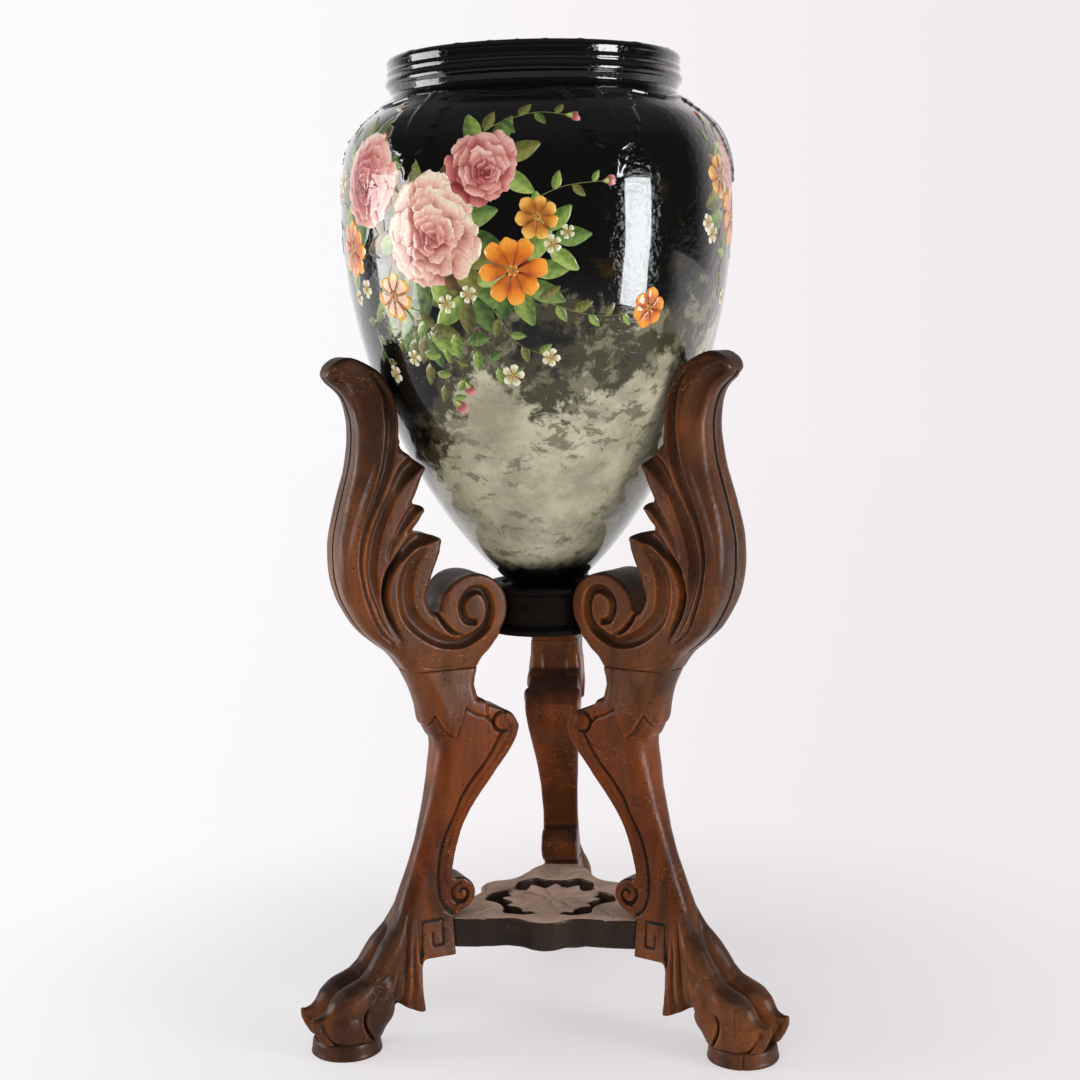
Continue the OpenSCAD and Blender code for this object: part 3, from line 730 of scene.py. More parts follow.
def pad_mesh():
    """One turned pad: a low cone with a rubbed lower edge, a drying crack and a slight wobble."""
    top = PAD_TOP
    side = [(39.6, top - 0.3), (40.8, top - 1.6), (41.8, top - 5), (42.9, 7), (43.8, 3.5)]
    profile = np.vstack([[(r, top) for r in (0, 10, 20, 30, 38.5)], smooth(side, 1.2),
                         smooth([side[-1], (43.6, 1.2), (42.2, 0.15)], 0.8),
                         [(r, 0) for r in (40, 30, 20, 10, 0)]])
    mesh = spun("pad", profile, PAD_STEPS)
    p = points_of(mesh) / MM
    turn, radius = round_place(p)
    crack = np.abs((turn - PAD_CRACK_AT + 180) % 360 - 180 - (p[:, 2] - 10) * 0.12)
    depth = PAD_CRACK_DEEP * fading(crack, PAD_CRACK_HALF) * ramp(radius, 34, 41)
    flat = 0.5 * np.sin(np.radians(turn) * 3 + 0.7) + 0.35 * np.sin(np.radians(turn) * 7)
    p[:, :2] *= (1 - (depth + 0.5 + flat * 0.5) / np.maximum(radius, 30))[:, None]
    set_points(mesh, p * MM)
    mesh.transform(Matrix.Translation((PAD_AT * MM, 0, 0)))
    mark_relief(mesh, passes=4)
    return mesh


# Plan of the shelf for one side of one leg, as (angle from the leg, distance from the axis)
SHELF_EDGE = [(17.7, 125), (22, 114), (30, 100), (38, 95), (45, 97), (52, 103), (60, 106)]
POCKET_OUT = [(52, 64), (40, 76), (30, 81), (19, 83), (10, 72), (0, 69)]
POCKET_IN = [(0, 62), (7, 55), (15, 50), (22, 55), (30, 63), (37, 56), (44, 55), (52, 64)]
ARM_HALF = 24.0
ARM_END = 143.0
ROSETTE_R = 64.0


def polar(points):
    return np.array([(d * math.cos(math.radians(a)), d * math.sin(math.radians(a))) for a, d in points])


def mirrored(line):
    return line[::-1] * np.array([1, -1])


def turned(line, angle):
    c, s = math.cos(math.radians(angle)), math.sin(math.radians(angle))
    return line @ np.array([[c, s], [-s, c]])


def shelf_lines():
    """The shelf's outer edge and its three lobed openings, in plan."""
    half = np.vstack([[(ARM_END, ARM_HALF)], smooth(polar(SHELF_EDGE), 2)])
    arm = np.vstack([mirrored(half), half])
    order = sorted(LEGS.values())
    outer = np.vstack([turned(arm, angle)[:-1] for angle in order])
    out, inner = smooth(polar(POCKET_OUT), 2), smooth(polar(POCKET_IN), 2)
    pocket = np.vstack([out, mirrored(out)[1:], mirrored(inner)[1:], inner[1:-1]])
    return outer, [turned(pocket, angle) for angle in order]


def sawn(outer, holes, low, high):
    """A board of the outer line with the holes sawn out, from one height to another."""
    bm = bmesh.new()
    for line in (outer, *holes):
        verts = [bm.verts.new((x * MM, y * MM, low * MM)) for x, y in line]
        for a, b in zip(verts, verts[1:] + verts[:1]):
            bm.edges.new((a, b))
    bmesh.ops.triangle_fill(bm, use_beauty=True, use_dissolve=False, edges=bm.edges)
    pulled(bm, (0, 0, (high - low) * MM))
    return as_mesh("board", bm)


def closed(line):
    return np.vstack([line, line[:1]])


def leaf_ring(radius, turn, count, foot, tip):
    """Depth of a ring of pointed leaves, each with a midrib and side veins, that end at a tip's radius."""
    part = 360.0 / count
    local = (turn + part / 2) % part - part / 2
    along = np.clip((radius - foot) / (tip - foot), 0, 1)
    half = np.maximum(part / 2 * np.minimum(1.0, 1.25 * (1 - along) ** 0.6), 0.3)
    across = np.abs(local) / half
    aside = np.abs(np.radians(local)) * radius
    vein = 0.35 * fading(np.abs((radius - 1.2 * aside) % 7.0 - 3.5), 0.9)
    rib = 0.7 * fading(aside, 1.1)
    return 0.3 + 1.5 * across ** 2 + 0.9 * (1 - along) ** 2 + np.maximum(vein, rib)


def leaf_relief(plan):
    """Depth of the carving in the shelf's top: a leaf round each opening and a lobed rosette."""
    outer, pockets = shelf_lines()
    distance, _ = nearest(plan, closed(outer), 40)
    turn, radius = round_place(plan)
    cuts = [quarter_round(fading(distance, 1.6)), 1.6 * fading(np.abs(distance - 7.5), 1.6)]
    for pocket in pockets:
        away, _ = nearest(plan, closed(pocket), 20)
        cuts.append(1.2 * quarter_round(fading(away, 2.2)))
        cuts.append(1.3 * fading(np.abs(away - 9), 1.5) * ramp(radius, 66, 72))
    for angle in LEGS.values():
        local = turned(plan, -angle)
        vein, _ = nearest(local, smooth([(84, 0), (104, 0), (128, 0)]), 4)
        cuts.append(1.5 * fading(vein, 1.6) * ramp(radius, 82, 92))
        for side in (-1, 1):
            line = [(84, side * 10), (100, side * 17), (114, side * 26), (110, side * 40)]
            seam, _ = nearest(local, smooth(line), 6)
            cuts.append(2.2 * fading(seam, 2.2))
    inside = ramp(ROSETTE_R - radius, -1.0, 2.0)
    outer_leaves = leaf_ring(radius, turn - 90, 12, 27, ROSETTE_R)
    inner_leaves = leaf_ring(radius, turn - 75, 8, 4, 36)
    rosette = np.where(inner_leaves < 2.4, inner_leaves + 0.4, np.minimum(outer_leaves, 3.2) + 1.6)
    heart = 1.6 * fading(np.abs(radius - 6.5), 1.6)
    return np.max(cuts, axis=0) * (1 - inside) + (rosette + heart) * inside


def shelf_mesh(settings):
    outer, pockets = shelf_lines()
    mesh = remeshed(sawn(outer, pockets, SHELF_LOW, SHELF_HIGH), SHELF_GRID)
    relaxed(mesh, 2)
    p = points_of(mesh) / MM
    share = np.clip((p[:, 2] - SHELF_LOW) / (SHELF_HIGH - SHELF_LOW), 0, 1)
    under, _ = nearest(p[:, :2], closed(outer), 6)
    lift = 1.6 * quarter_round(fading(under, 2.5))
    p[:, 2] = SHELF_LOW + lift + share * (SHELF_HIGH - SHELF_LOW - lift - leaf_relief(p[:, :2]))
    set_points(mesh, p * MM)
    relaxed(mesh, 1, 0.4)
    let_stray(mesh, SHELF_STRAY, settings.tool_wobble)
    mark_relief(mesh)
    return mesh


# The vase: its outline, its wall and the point of its wall at a turn and a height

def bezier(points, count):
    """A curve from the first of four points to the last, drawn towards the two between."""
    p = np.asarray(points, float)
    t = np.linspace(0, 1, count + 1)[:, None]
    return (1 - t) ** 3 * p[0] + 3 * (1 - t) ** 2 * t * p[1] + 3 * (1 - t) * t * t * p[2] + t ** 3 * p[3]


VASE_NECK_R = 173.5
VASE_WALL = 10.0
VASE_FLOOR = 24.0
# Radius of the rim's beads, and the fine ribs between them, as (out from the neck, up from the foot)
BEAD_R = 6.5
RIM_RIBS = ((3.6, 618.4), (4.7, 622.4), (3.2, 626.6), (3.6, 629))
# The wall below and above its widest place, as the four points of a curve from the foot up
BODY_LOW = [(39, 0), (122, 65), (238, 248), (238, 460)]
BODY_HIGH = [(238, 460), (238, 577), (198.5, 559), (173.5, 597)]


# The wall's outer curve from the foot to the neck, as [radius, height]
WALL = np.vstack([bezier(BODY_LOW, 90), bezier(BODY_HIGH, 90)[1:]]) + np.array([0, VASE_FOOT])
WALL_LENGTH = np.concatenate([[0.0], np.cumsum(np.linalg.norm(np.diff(WALL, axis=0), axis=1))])


def rim_curve():
    """A full rim of two rounded beads with fine ribs between them, and a rounded lip."""
    lower = arc((VASE_NECK_R, VASE_FOOT + 611), BEAD_R, -60, 35, 12)
    upper = arc((VASE_NECK_R - 2, VASE_FOOT + 634.5), BEAD_R, -25, 90, 14)
    ribs = [(VASE_NECK_R + out, VASE_FOOT + up) for out, up in RIM_RIBS]
    return np.vstack([smooth([WALL[-1], lower[0]], 2)[1:], lower[1:],
                      smooth([lower[-1], *ribs, upper[0]], 1.1)[1:], upper[1:]])


def inside_curve():
    """The inside from the lip down to the floor of the vase."""
    lip = arc((VASE_NECK_R - 5, VASE_TOP - 4.5), 4.5, 90, 180, 6)
    floor = VASE_FOOT + VASE_FLOOR
    down = WALL[::-5] - np.array([VASE_WALL, 0])
    down = down[(down[:, 1] > floor) & (down[:, 0] > 26)]
    return np.vstack([lip, [(VASE_NECK_R - VASE_WALL, VASE_TOP - 20)], down, [(20, floor), (0, floor)]])


# The raised border on the shoulder: its pendants, their first angle, its height, the radius that its plan is
# drawn at, and how far down it reaches, by distance to the side of a pendant
BORDER_COUNT = 6
BORDER_TURN = -62.0
BORDER_RAISE = 3.0
BORDER_AT_R = 232.0
BORDER_TOP = 1152.0
BORDER_LINE = [(0, 1043), (6, 1058), (13, 1072), (24, 1079), (32, 1092), (36, 1111), (40, 1128), (53, 1142),
               (88, 1138), (124, 1136)]


def border_height(turn, height):
    """1 on the raised border of the shoulder and 0 under it, with the fine rib down each pendant."""
    part = 360.0 / BORDER_COUNT
    local = (turn - BORDER_TURN + part / 2) % part - part / 2
    across = np.abs(np.radians(local)) * BORDER_AT_R
    over = height - read_off(across, BORDER_LINE)
    raised = ramp(over, -2.2, 2.2)
    bead = 0.6 * np.exp(-((over - 1.5) / 2.6) ** 2)
    rib = 0.8 * np.exp(-(across / 2.6) ** 2) * ramp(height, 1046, 1060)
    return (raised + bead + rib * raised) * ramp(BORDER_TOP - height, 0, 10)


# Size of the thrown wall's slow waves across and along, and height of the glaze's drops on the lip, in metres
WAVES = (14, 14, 26)
DROP_HIGH = 0.0035


def vase_mesh(settings):
    profile = np.vstack([[(0, VASE_FOOT), (20, VASE_FOOT)], WALL, rim_curve(), inside_curve()])
    mesh = spun("glazed_vase", profile, settings.turns)
    p = points_of(mesh)
    height = p[:, 2] / MM
    turn, radius = round_place(p)
    radius = np.maximum(radius, 1e-6)
    inside = radius < np.interp(height, WALL[:, 1], WALL[:, 0]) * MM - 0.004
    push = BORDER_RAISE * MM * border_height(turn, height)
    waves = np.array([noise.noise(Vector(q)) for q in p * WAVES]) * settings.ripple
    rise = np.where(inside, 0.0, push + waves) * ramp(height, VASE_FOOT, VASE_FOOT + 60)
    p[:, :2] *= (1 + rise / radius)[:, None]
    lip = ramp(height, VASE_TOP - 6, VASE_TOP) * ~inside
    drops = np.clip(np.sin(np.radians(turn) * 23 + 3 * np.sin(np.radians(turn) * 4)) - 0.80, 0, 1)
    p[:, 2] += DROP_HIGH * drops * lip
    set_points(mesh, p)
    return mesh


# How far up and down the wall its slope is measured, in millimetres
SLOPE_STEP = 2.0


def wall_at(length):
    """Radius, height and outward slope of the wall at a length up its curve from the foot."""
    lengths = np.array([length, length - SLOPE_STEP, length + SLOPE_STEP])
    (r, r_under, r_over), (z, z_under, z_over) = (np.interp(lengths, WALL_LENGTH, axis) for axis in WALL.T)
    dr, dz = r_over - r_under, z_over - z_under
    size = np.hypot(dr, dz)
    return r, z, dz / size, -dr / size


def length_at(height):
    """Length up the wall's curve at a height."""
    return np.interp(height, WALL[:, 1], WALL_LENGTH)


# Painted flowers: thin raised petals, leaves and stems that follow the wall

TINTS = {
    "cream": ((0.84, 0.70, 0.54), (0.74, 0.40, 0.31), (0.36, 0.10, 0.07)),
    "blush": ((0.83, 0.58, 0.49), (0.66, 0.27, 0.23), (0.28, 0.05, 0.045)),
    "rose": ((0.74, 0.42, 0.36), (0.50, 0.13, 0.12), (0.18, 0.025, 0.025)),
    "orange": ((0.86, 0.36, 0.045), (0.78, 0.22, 0.018), (0.30, 0.045, 0.008)),
    "amber": ((0.82, 0.48, 0.10), (0.62, 0.24, 0.03), (0.24, 0.06, 0.01)),
    "white": ((0.78, 0.76, 0.62), (0.66, 0.60, 0.36), (0.40, 0.28, 0.06)),
    "fresh": ((0.46, 0.54, 0.16), (0.20, 0.29, 0.055), (0.04, 0.08, 0.018)),
    "green": ((0.26, 0.36, 0.10), (0.09, 0.16, 0.035), (0.018, 0.04, 0.012)),
    "olive": ((0.34, 0.33, 0.10), (0.15, 0.15, 0.035), (0.04, 0.04, 0.012)),
    "brown": ((0.24, 0.15, 0.07), (0.10, 0.06, 0.03), (0.03, 0.018, 0.01)),
}


def mix(a, b, share):
    return tuple(x + (y - x) * share for x, y in zip(a, b))


def tint_of(palette, depth):
    """A colour from a palette's light end, at 0, to its dark end, at 1."""
    light, middle, dark = TINTS[palette]
    depth = min(max(depth, 0.0), 1.0)
    return mix(light, middle, depth * 2) if depth < 0.5 else mix(middle, dark, depth * 2 - 1)


class Painting:
    """Gathers petals, leaves and stems, drawn flat in millimetres, on the wall of the vase."""

    def __init__(self, seed, relief):
        self.bm = bmesh.new()
        self.tint = self.bm.verts.layers.float_color.new("tint")
        self.grain = self.bm.verts.layers.float_vector.new("petal")
        self.scratch = bpy.data.meshes.new("petal")
        self.loose = random.Random(seed)
        self.relief = relief / MM
        self.count = 0

    def lay(self, place, outline, paint, level, across=6, along=8):
        """Lays one petal: outline(s, t) gives its flat place and rise, paint(s, t) its colour."""
        turn, height = place
        start = length_at(height)
        self.count += 1
        small = bmesh.new()
        tint = small.verts.layers.float_color.new("tint")
        grain = small.verts.layers.float_vector.new("petal")
        bmesh.ops.create_grid(small, x_segments=across, y_segments=along, size=0.5)
        for vert in small.verts:
            s = 2 * vert.co.x
            t = vert.co.y + 0.5
            s = math.copysign(abs(s) ** 0.7, s)
            u, v, rise = outline(s, t)
            r, z, normal_r, normal_z = wall_at(start + v)
            edge = abs(s) > 0.999 or t < 0.001 or t > 0.999
            lift = -0.5 if edge else level + rise
            angle = math.radians(turn) + u / r
            out = r + normal_r * lift
            vert.co = Vector((out * math.cos(angle), out * math.sin(angle), z + normal_z * lift)) * MM
            vert[tint] = (*paint(s, t), 1.0)
            vert[grain] = (s, t, self.count * 0.37)
        for face in small.faces:
            face.smooth = True
        bmesh.ops.recalc_face_normals(small, faces=small.faces)
        middle = small.faces[:][len(small.faces) // 2]
        centre = middle.calc_center_median()
        if middle.normal.dot(Vector((centre.x, centre.y, 0))) < 0:
            bmesh.ops.reverse_faces(small, faces=small.faces)
        small.to_mesh(self.scratch)
        small.free()
        self.bm.from_mesh(self.scratch)

    def finish(self, name):
        bpy.data.meshes.remove(self.scratch)
        return placed(name, as_mesh(name, self.bm))


def petal(length, width, base, turn, full=1.5, blunt=0.6, curl=0.0, centre=(0.0, 0.0), rise=1.0, frill=0.0):
    """Outline of a petal that starts at base millimetres from a centre and points at an angle."""
    cosine, sine = math.cos(math.radians(turn)), math.sin(math.radians(turn))

    def outline(s, t):
        half = width / 2 * max(math.sin(math.pi * t ** full), 0.0) ** blunt + 0.15
        x = s * half + curl * length * t * t * 0.25
        y = base + length * (t - 0.10 * (1 - s * s) * (1 - t)) - 0.07 * length * abs(s) ** 3 * t
        y += frill * length * t * t * math.cos(s * 5.5 + turn)
        hump = (1 - abs(s) ** 2.5) ** 0.5 * math.sin(math.pi * min(t + 0.08, 1.0)) ** 0.5
        return centre[0] + cosine * y - sine * x, centre[1] + sine * y + cosine * x, rise * hump

    return outline


def petal_paint(palette, near=1.0, far=0.0, shade=0.0, veins=3.0):
    """Colour of a petal: dark at its foot, light at its lip, with soft veins."""
    def paint(s, t):
        lip = min(max((t - 0.38) / 0.55, 0.0), 1.0)
        lip = lip * lip * (3 - 2 * lip)
        depth = near + (far - near) * lip + shade
        depth += 0.12 * math.cos(s * math.pi * veins) * (1 - lip) + 0.30 * max(0.0, abs(s) - 0.65)
        return tint_of(palette, depth)

    return paint


def leaf_paint(palette, shade=0.0):
    """Colour of a leaf: two halves, a pale midrib and side veins."""
    def paint(s, t):
        depth = 0.55 + shade + (0.22 if s > 0 else -0.12)
        depth += 0.12 * math.sin(t * 26 - abs(s) * 5)
        depth -= 0.50 * math.exp(-(s / 0.13) ** 2)
        depth -= 0.28 * max(0.0, abs(s) - 0.7)
        return tint_of(palette, depth)

    return paint


# The rings of a full bloom from outside in: count, then base, length and width as shares of its size
RINGS = ((8, 0.42, 0.62, 0.80), (8, 0.34, 0.56, 0.66), (7, 0.24, 0.52, 0.62), (7, 0.16, 0.44, 0.52),
         (6, 0.08, 0.38, 0.42), (5, 0.03, 0.28, 0.32), (4, 0.0, 0.18, 0.20))


def full_bloom(painting, place, size, palettes, tilt=0.0):
    """A full round bloom of broad, loose petals, ring on ring to a tight heart, lit from above."""
    rnd = painting.loose
    for number, (count, base, length, width) in enumerate(RINGS):
        palette = palettes[min(number // 2, len(palettes) - 1)]
        shift = (tilt * size * 0.05 * number, -0.025 * size * number)
        for i in range(count):
            angle = 360 / count * (i + 0.5 * (number % 2)) + rnd.uniform(-11, 11)
            reach = size * rnd.uniform(0.90, 1.10)
            outline = petal(length * reach, width * reach * rnd.uniform(0.9, 1.25), base * reach, angle,
                            full=1.9, blunt=0.42, curl=rnd.uniform(-0.7, 0.7), centre=shift,
                            rise=painting.relief * 0.5, frill=rnd.uniform(0.03, 0.09))
            low_side = 0.17 * math.cos(math.radians(angle + 120))
            paint = petal_paint(palette, near=rnd.uniform(0.75, 1.05), far=rnd.uniform(-0.1, 0.25),
                                shade=low_side + rnd.uniform(-0.05, 0.08))
            level = 0.30 + 0.20 * number + 0.10 * (i % 2)
            painting.lay(place, outline, paint, level, across=9, along=8)


def open_flower(painting, place, size, palette, count=8, heart="amber"):
    """A flat flower of separate petals round a small heart."""
    rnd = painting.loose
    start = rnd.uniform(0, 360)
    for i in range(count):
        angle = start + 360 / count * i + rnd.uniform(-4, 4)
        length = size * rnd.uniform(0.88, 1.05)
        outline = petal(length, size * 5.4 / count * 0.95, size * 0.10, angle, full=1.8, blunt=0.55,
                        curl=rnd.uniform(-0.3, 0.3), rise=painting.relief * 0.4)
        paint = petal_paint(palette, near=1.0, far=rnd.uniform(0.0, 0.15), shade=-0.12, veins=2.5)
        painting.lay(place, outline, paint, 0.5 + 0.16 * (i % 2), across=5, along=7)
    for i in range(6):
        angle = start + 60 * i
        outline = petal(size * 0.20, size * 0.16, size * 0.01, angle, full=1.0, blunt=0.5, rise=0.5)
        painting.lay(place, outline, petal_paint(heart, near=0.8, far=0.0), 1.0, across=3, along=4)


def blossom(painting, place, size, palette="white"):
    """A small five-petalled blossom."""
    rnd = painting.loose
    start = rnd.uniform(0, 72)
    for i in range(5):
        angle = start + 72 * i + rnd.uniform(-5, 5)
        outline = petal(size, size * 0.85, size * 0.08, angle, full=1.9, blunt=0.5, rise=0.5)
        paint = petal_paint(palette, near=0.9, far=0.0, shade=-0.1, veins=1)
        painting.lay(place, outline, paint, 0.45 + 0.1 * (i % 2), across=4, along=5)
    outline = petal(size * 0.34, size * 0.34, -size * 0.17, 90, full=1.0, blunt=0.5, rise=0.4)
    painting.lay(place, outline, petal_paint("amber", near=0.7, far=0.1), 1.0, across=3, along=4)


def leaf(painting, place, length, direction, palette, base=0.0, width=0.54, level=0.12, shade=0.0):
    """One ovate leaf that points along a direction, in degrees from the wall's right."""
    outline = petal(length, length * width, base, direction, full=0.80, blunt=0.85,
                    curl=painting.loose.uniform(-0.5, 0.5), rise=painting.relief * 0.35)
    painting.lay(place, outline, leaf_paint(palette, shade), level, across=7, along=9)


def bud(painting, place, size, direction, palette):
    """A closed bud in its green cup."""
    for spread_by, level in ((-16, 0.4), (16, 0.45), (0, 0.6)):
        outline = petal(size, size * 0.55, 0, direction + spread_by, full=1.2, blunt=0.7, rise=0.6)
        painting.lay(place, outline, petal_paint(palette, near=0.8, far=0.1), level, across=4, along=5)
    for spread_by in (-24, 24, 0):
        outline = petal(size * 0.62, size * 0.26, -size * 0.12, direction + spread_by, full=0.8, blunt=0.9,
                        rise=0.5)
        painting.lay(place, outline, leaf_paint("fresh"), 0.95, across=4, along=5)


STEM_WIDTH = 2.2


def stem(painting, points):
    """A stem through (turn, height) points, and its places and directions, for leaves to grow from."""
    line = smooth([(math.radians(turn) * BELLY_R, height) for turn, height in points], 5)
    turn = math.degrees(line[0][0] / BELLY_R)
    height = line[0][1]
    up = length_at(height)

    def outline(s, t):
        at = t * (len(line) - 1)
        i = min(int(at), len(line) - 2)
        x, z = line[i] + (line[i + 1] - line[i]) * (at - i)
        dx, dz = line[i + 1] - line[i]
        size = math.hypot(dx, dz)
        r = float(np.interp(length_at(z), WALL_LENGTH, WALL[:, 0]))
        half = STEM_WIDTH / 2 * (1 - 0.55 * t)
        u = (x - line[0][0]) / BELLY_R * r - dz / size * half * s
        return u, length_at(z) - up + dx / size * half * s, 0.35

    painting.lay((turn, height), outline, lambda s, t: tint_of("olive", 0.35 + 0.3 * s), 0.2,
                 across=2, along=max(4, len(line)))
    places = []
    for i in range(len(line) - 1):
        dx, dz = line[i + 1] - line[i]
        places.append(((math.degrees(line[i][0] / BELLY_R), line[i][1]), math.degrees(math.atan2(dz, dx))))
    return places


def spray(painting, points, palettes, leaf_length, gap, tip):
    """A stem with leaves by turns on each side, and a leaf, a bud or a flower at its end."""
    rnd = painting.loose
    places = stem(painting, points)
    for number, i in enumerate(range(gap, len(places), gap)):
        place, direction = places[i]
        side = 1 if number % 2 else -1
        share = 1 - 0.45 * i / len(places)
        length = leaf_length * share * rnd.uniform(0.85, 1.15)
        away = direction + side * rnd.uniform(40, 62)
        leaf(painting, place, length, away, palettes[number % len(palettes)], base=0.5, level=0.25)
    place, direction = places[-1]
    if tip == "bud":
        bud(painting, place, leaf_length * 0.62, direction, "rose")
    elif tip == "blossom":
        blossom(painting, place, leaf_length * 0.42)
    elif tip == "orange":
        open_flower(painting, place, leaf_length * 0.75, "orange", count=6)
    else:
        leaf(painting, place, leaf_length * 0.7, direction, palettes[0], level=0.25)


def leaf_fan(painting, place, base, lengths, directions, palettes):
    """Leaves that stand out from under a bloom."""
    for number, (length, direction) in enumerate(zip(lengths, directions)):
        leaf(painting, place, length, direction, palettes[number % len(palettes)], base=base,
             shade=painting.loose.uniform(-0.2, 0.15), level=0.10 + 0.05 * (number % 3))


# Sprays that trail out from the chief bouquet, and leafier ones that hang over it: the stem's points as
# (turn, height), the leaves' palettes and length, and what grows at the tip
TRAILING_SPRAYS = (
    ([(-92, 925), (-80, 902), (-66, 888), (-50, 896)], ("fresh", "olive"), 30, "orange"),
    ([(-98, 905), (-94, 878), (-90, 858), (-80, 842)], ("olive", "fresh"), 26, "blossom"),
    ([(-120, 905), (-118, 872), (-111, 845), (-108, 812)], ("fresh", "olive"), 28, "bud"),
    ([(-134, 915), (-136, 888), (-131, 866), (-126, 842)], ("olive", "fresh"), 26, "blossom"),
    ([(-106, 1070), (-96, 1098), (-84, 1112), (-74, 1108)], ("green", "olive"), 28, "bud"),
    ([(-88, 1010), (-77, 1030), (-65, 1036)], ("olive", "fresh"), 25, "bud"),
    ([(-128, 1095), (-124, 1120), (-113, 1140)], ("green", "olive"), 22, "leaf"),
    ([(-150, 1085), (-156, 1108), (-161, 1128)], ("green", "olive"), 26, "blossom"),
    ([(-158, 1000), (-170, 982), (-180, 955)], ("olive", "fresh"), 28, "orange"),
)
HANGING_SPRAYS = (
    ([(-112, 880), (-105, 858), (-99, 838), (-92, 822)], ("fresh", "green"), 32, "blossom"),
    ([(-125, 880), (-122, 850), (-118, 822), (-113, 792)], ("olive", "fresh"), 32, "bud"),
    ([(-140, 900), (-143, 872), (-141, 846), (-138, 822)], ("green", "olive"), 28, "blossom"),
)
# Small blossoms of the chief bouquet, as (turn, height, size)
FRONT_BLOSSOMS = ((-126, 1122, 14), (-134, 1132, 12), (-118, 1113, 12), (-123, 1098, 12), (-163, 1035, 13),
                  (-158, 1052, 14), (-169, 1050, 11), (-104, 915, 11), (-111, 905, 12), (-80, 968, 11),
                  (-76, 981, 9), (-144, 925, 12), (-151, 915, 10))


def front_bouquet(painting):
    """The chief bouquet: three full blooms with orange flowers, broad leaves and trailing sprays."""
    dull, bright, mid = ("brown", "olive", "green"), ("fresh", "green", "fresh"), ("green", "olive", "fresh")
    around = (-170, -135, -100, -65, -25, 15, 60, 105, 150)
    leaf_fan(painting, (-116, 985), 40, (66, 58, 70, 60, 66, 56, 60, 52, 60), around, dull)
    leaf_fan(painting, (-139, 1050), 30, (60, 56, 60, 52, 50, 52, 58, 60, 62), around, dull)
    leaf_fan(painting, (-126, 900), 8, (46, 44, 48, 44, 42, 40, 44, 46, 44), around, dull)
    for points, palettes, leaf_length, tip in TRAILING_SPRAYS:
        spray(painting, points, palettes, leaf_length, 4, tip)
    leaf_fan(painting, (-114, 985), 42, (56, 60, 52, 60, 50, 54), (-12, -52, -88, -122, 32, 190), mid)
    leaf_fan(painting, (-139, 1052), 32, (50, 52, 48, 50, 46), (70, 112, 155, 200, 245), mid)
    leaf_fan(painting, (-98, 1056), 24, (44, 46, 42, 44), (-28, 18, 62, 112), ("fresh", "olive", "green"))
    leaf_fan(painting, (-91, 938), 20, (48, 50, 46, 48, 42), (-75, -35, 5, 45, 255), bright)
    leaf_fan(painting, (-150, 975), 18, (46, 48, 44, 46), (115, 160, 215, 262), bright)
    leaf_fan(painting, (-129, 915), 14, (42, 44, 42, 40), (205, 245, 290, 330), bright)
    leaf_fan(painting, (-104, 922), 12, (50, 46, 54, 48, 44, 46), (-62, -98, -130, -22, 200, 22), mid)
    leaf_fan(painting, (-83, 972), 14, (42, 46, 40, 44), (-42, 8, 52, 96), bright)
    leaf_fan(painting, (-119, 878), 6, (46, 42, 48, 44, 40), (-80, -116, -45, -152, -8), mid)
    for points, palettes, leaf_length, tip in HANGING_SPRAYS:
        spray(painting, points, palettes, leaf_length, 3, tip)
    for turn, height, size in FRONT_BLOSSOMS:
        blossom(painting, (turn, height), size)
    open_flower(painting, (-150, 972), 34, "orange")
    open_flower(painting, (-91, 940), 39, "orange")
    open_flower(painting, (-130, 915), 29, "amber", count=7)
    open_flower(painting, (-84, 998), 25, "amber", count=7)
    full_bloom(painting, (-99, 1053), 42, ("rose", "blush", "rose"), tilt=0.6)
    full_bloom(painting, (-139, 1050), 54, ("blush", "rose", "rose"), tilt=-0.5)
    full_bloom(painting, (-115, 987), 66, ("cream", "cream", "blush"), tilt=0.3)


# Sprays of a side bouquet: the stem's points from its middle, the leaves' length, and what grows at the tip
SIDE_SPRAYS = (
    (((-8, 40), (-12, 75), (-9, 105)), 28, "bud"),
    (((0, -40), (-6, -75), (2, -105)), 26, "blossom"),
    (((12, -20), (26, -40), (38, -36)), 28, "orange"),
)


def side_bouquets(painting):
    """Two looser bunches, on the right and round the back."""
    greens, dull = ("fresh", "green", "olive"), ("olive", "brown", "green")
    around = (-165, -120, -75, -30, 15, 60, 105, 150)
    for turn, height in ((-12, 1010), (100, 1000)):
        leaf_fan(painting, (turn + 2, height + 24), 30, (58, 52, 56, 50, 54, 50, 56, 52), around, dull)
        for points, leaf_length, tip in SIDE_SPRAYS:
            line = [(turn + across, height + up) for across, up in points]
            spray(painting, line, greens, leaf_length, 4, tip)
        leaf_fan(painting, (turn, height), 24, (50, 46, 48, 52, 46, 48), (-160, -110, -60, -10, 60, 130),
                 greens)
        leaf_fan(painting, (turn + 6, height + 62), 22, (44, 40, 44, 40), (0, 60, 110, 170), greens)
        open_flower(painting, (turn + 4, height - 8), 38, "orange")
        open_flower(painting, (turn - 8, height + 36), 27, "amber", count=7)
        full_bloom(painting, (turn + 7, height + 60), 42, ("blush", "rose", "rose"), tilt=0.3)
        for dx, dz, size in ((-13, -30, 13), (-16, -18, 11), (16, 24, 12), (20, 12, 11)):
            blossom(painting, (turn + dx, height + dz), size)


# Shader trees

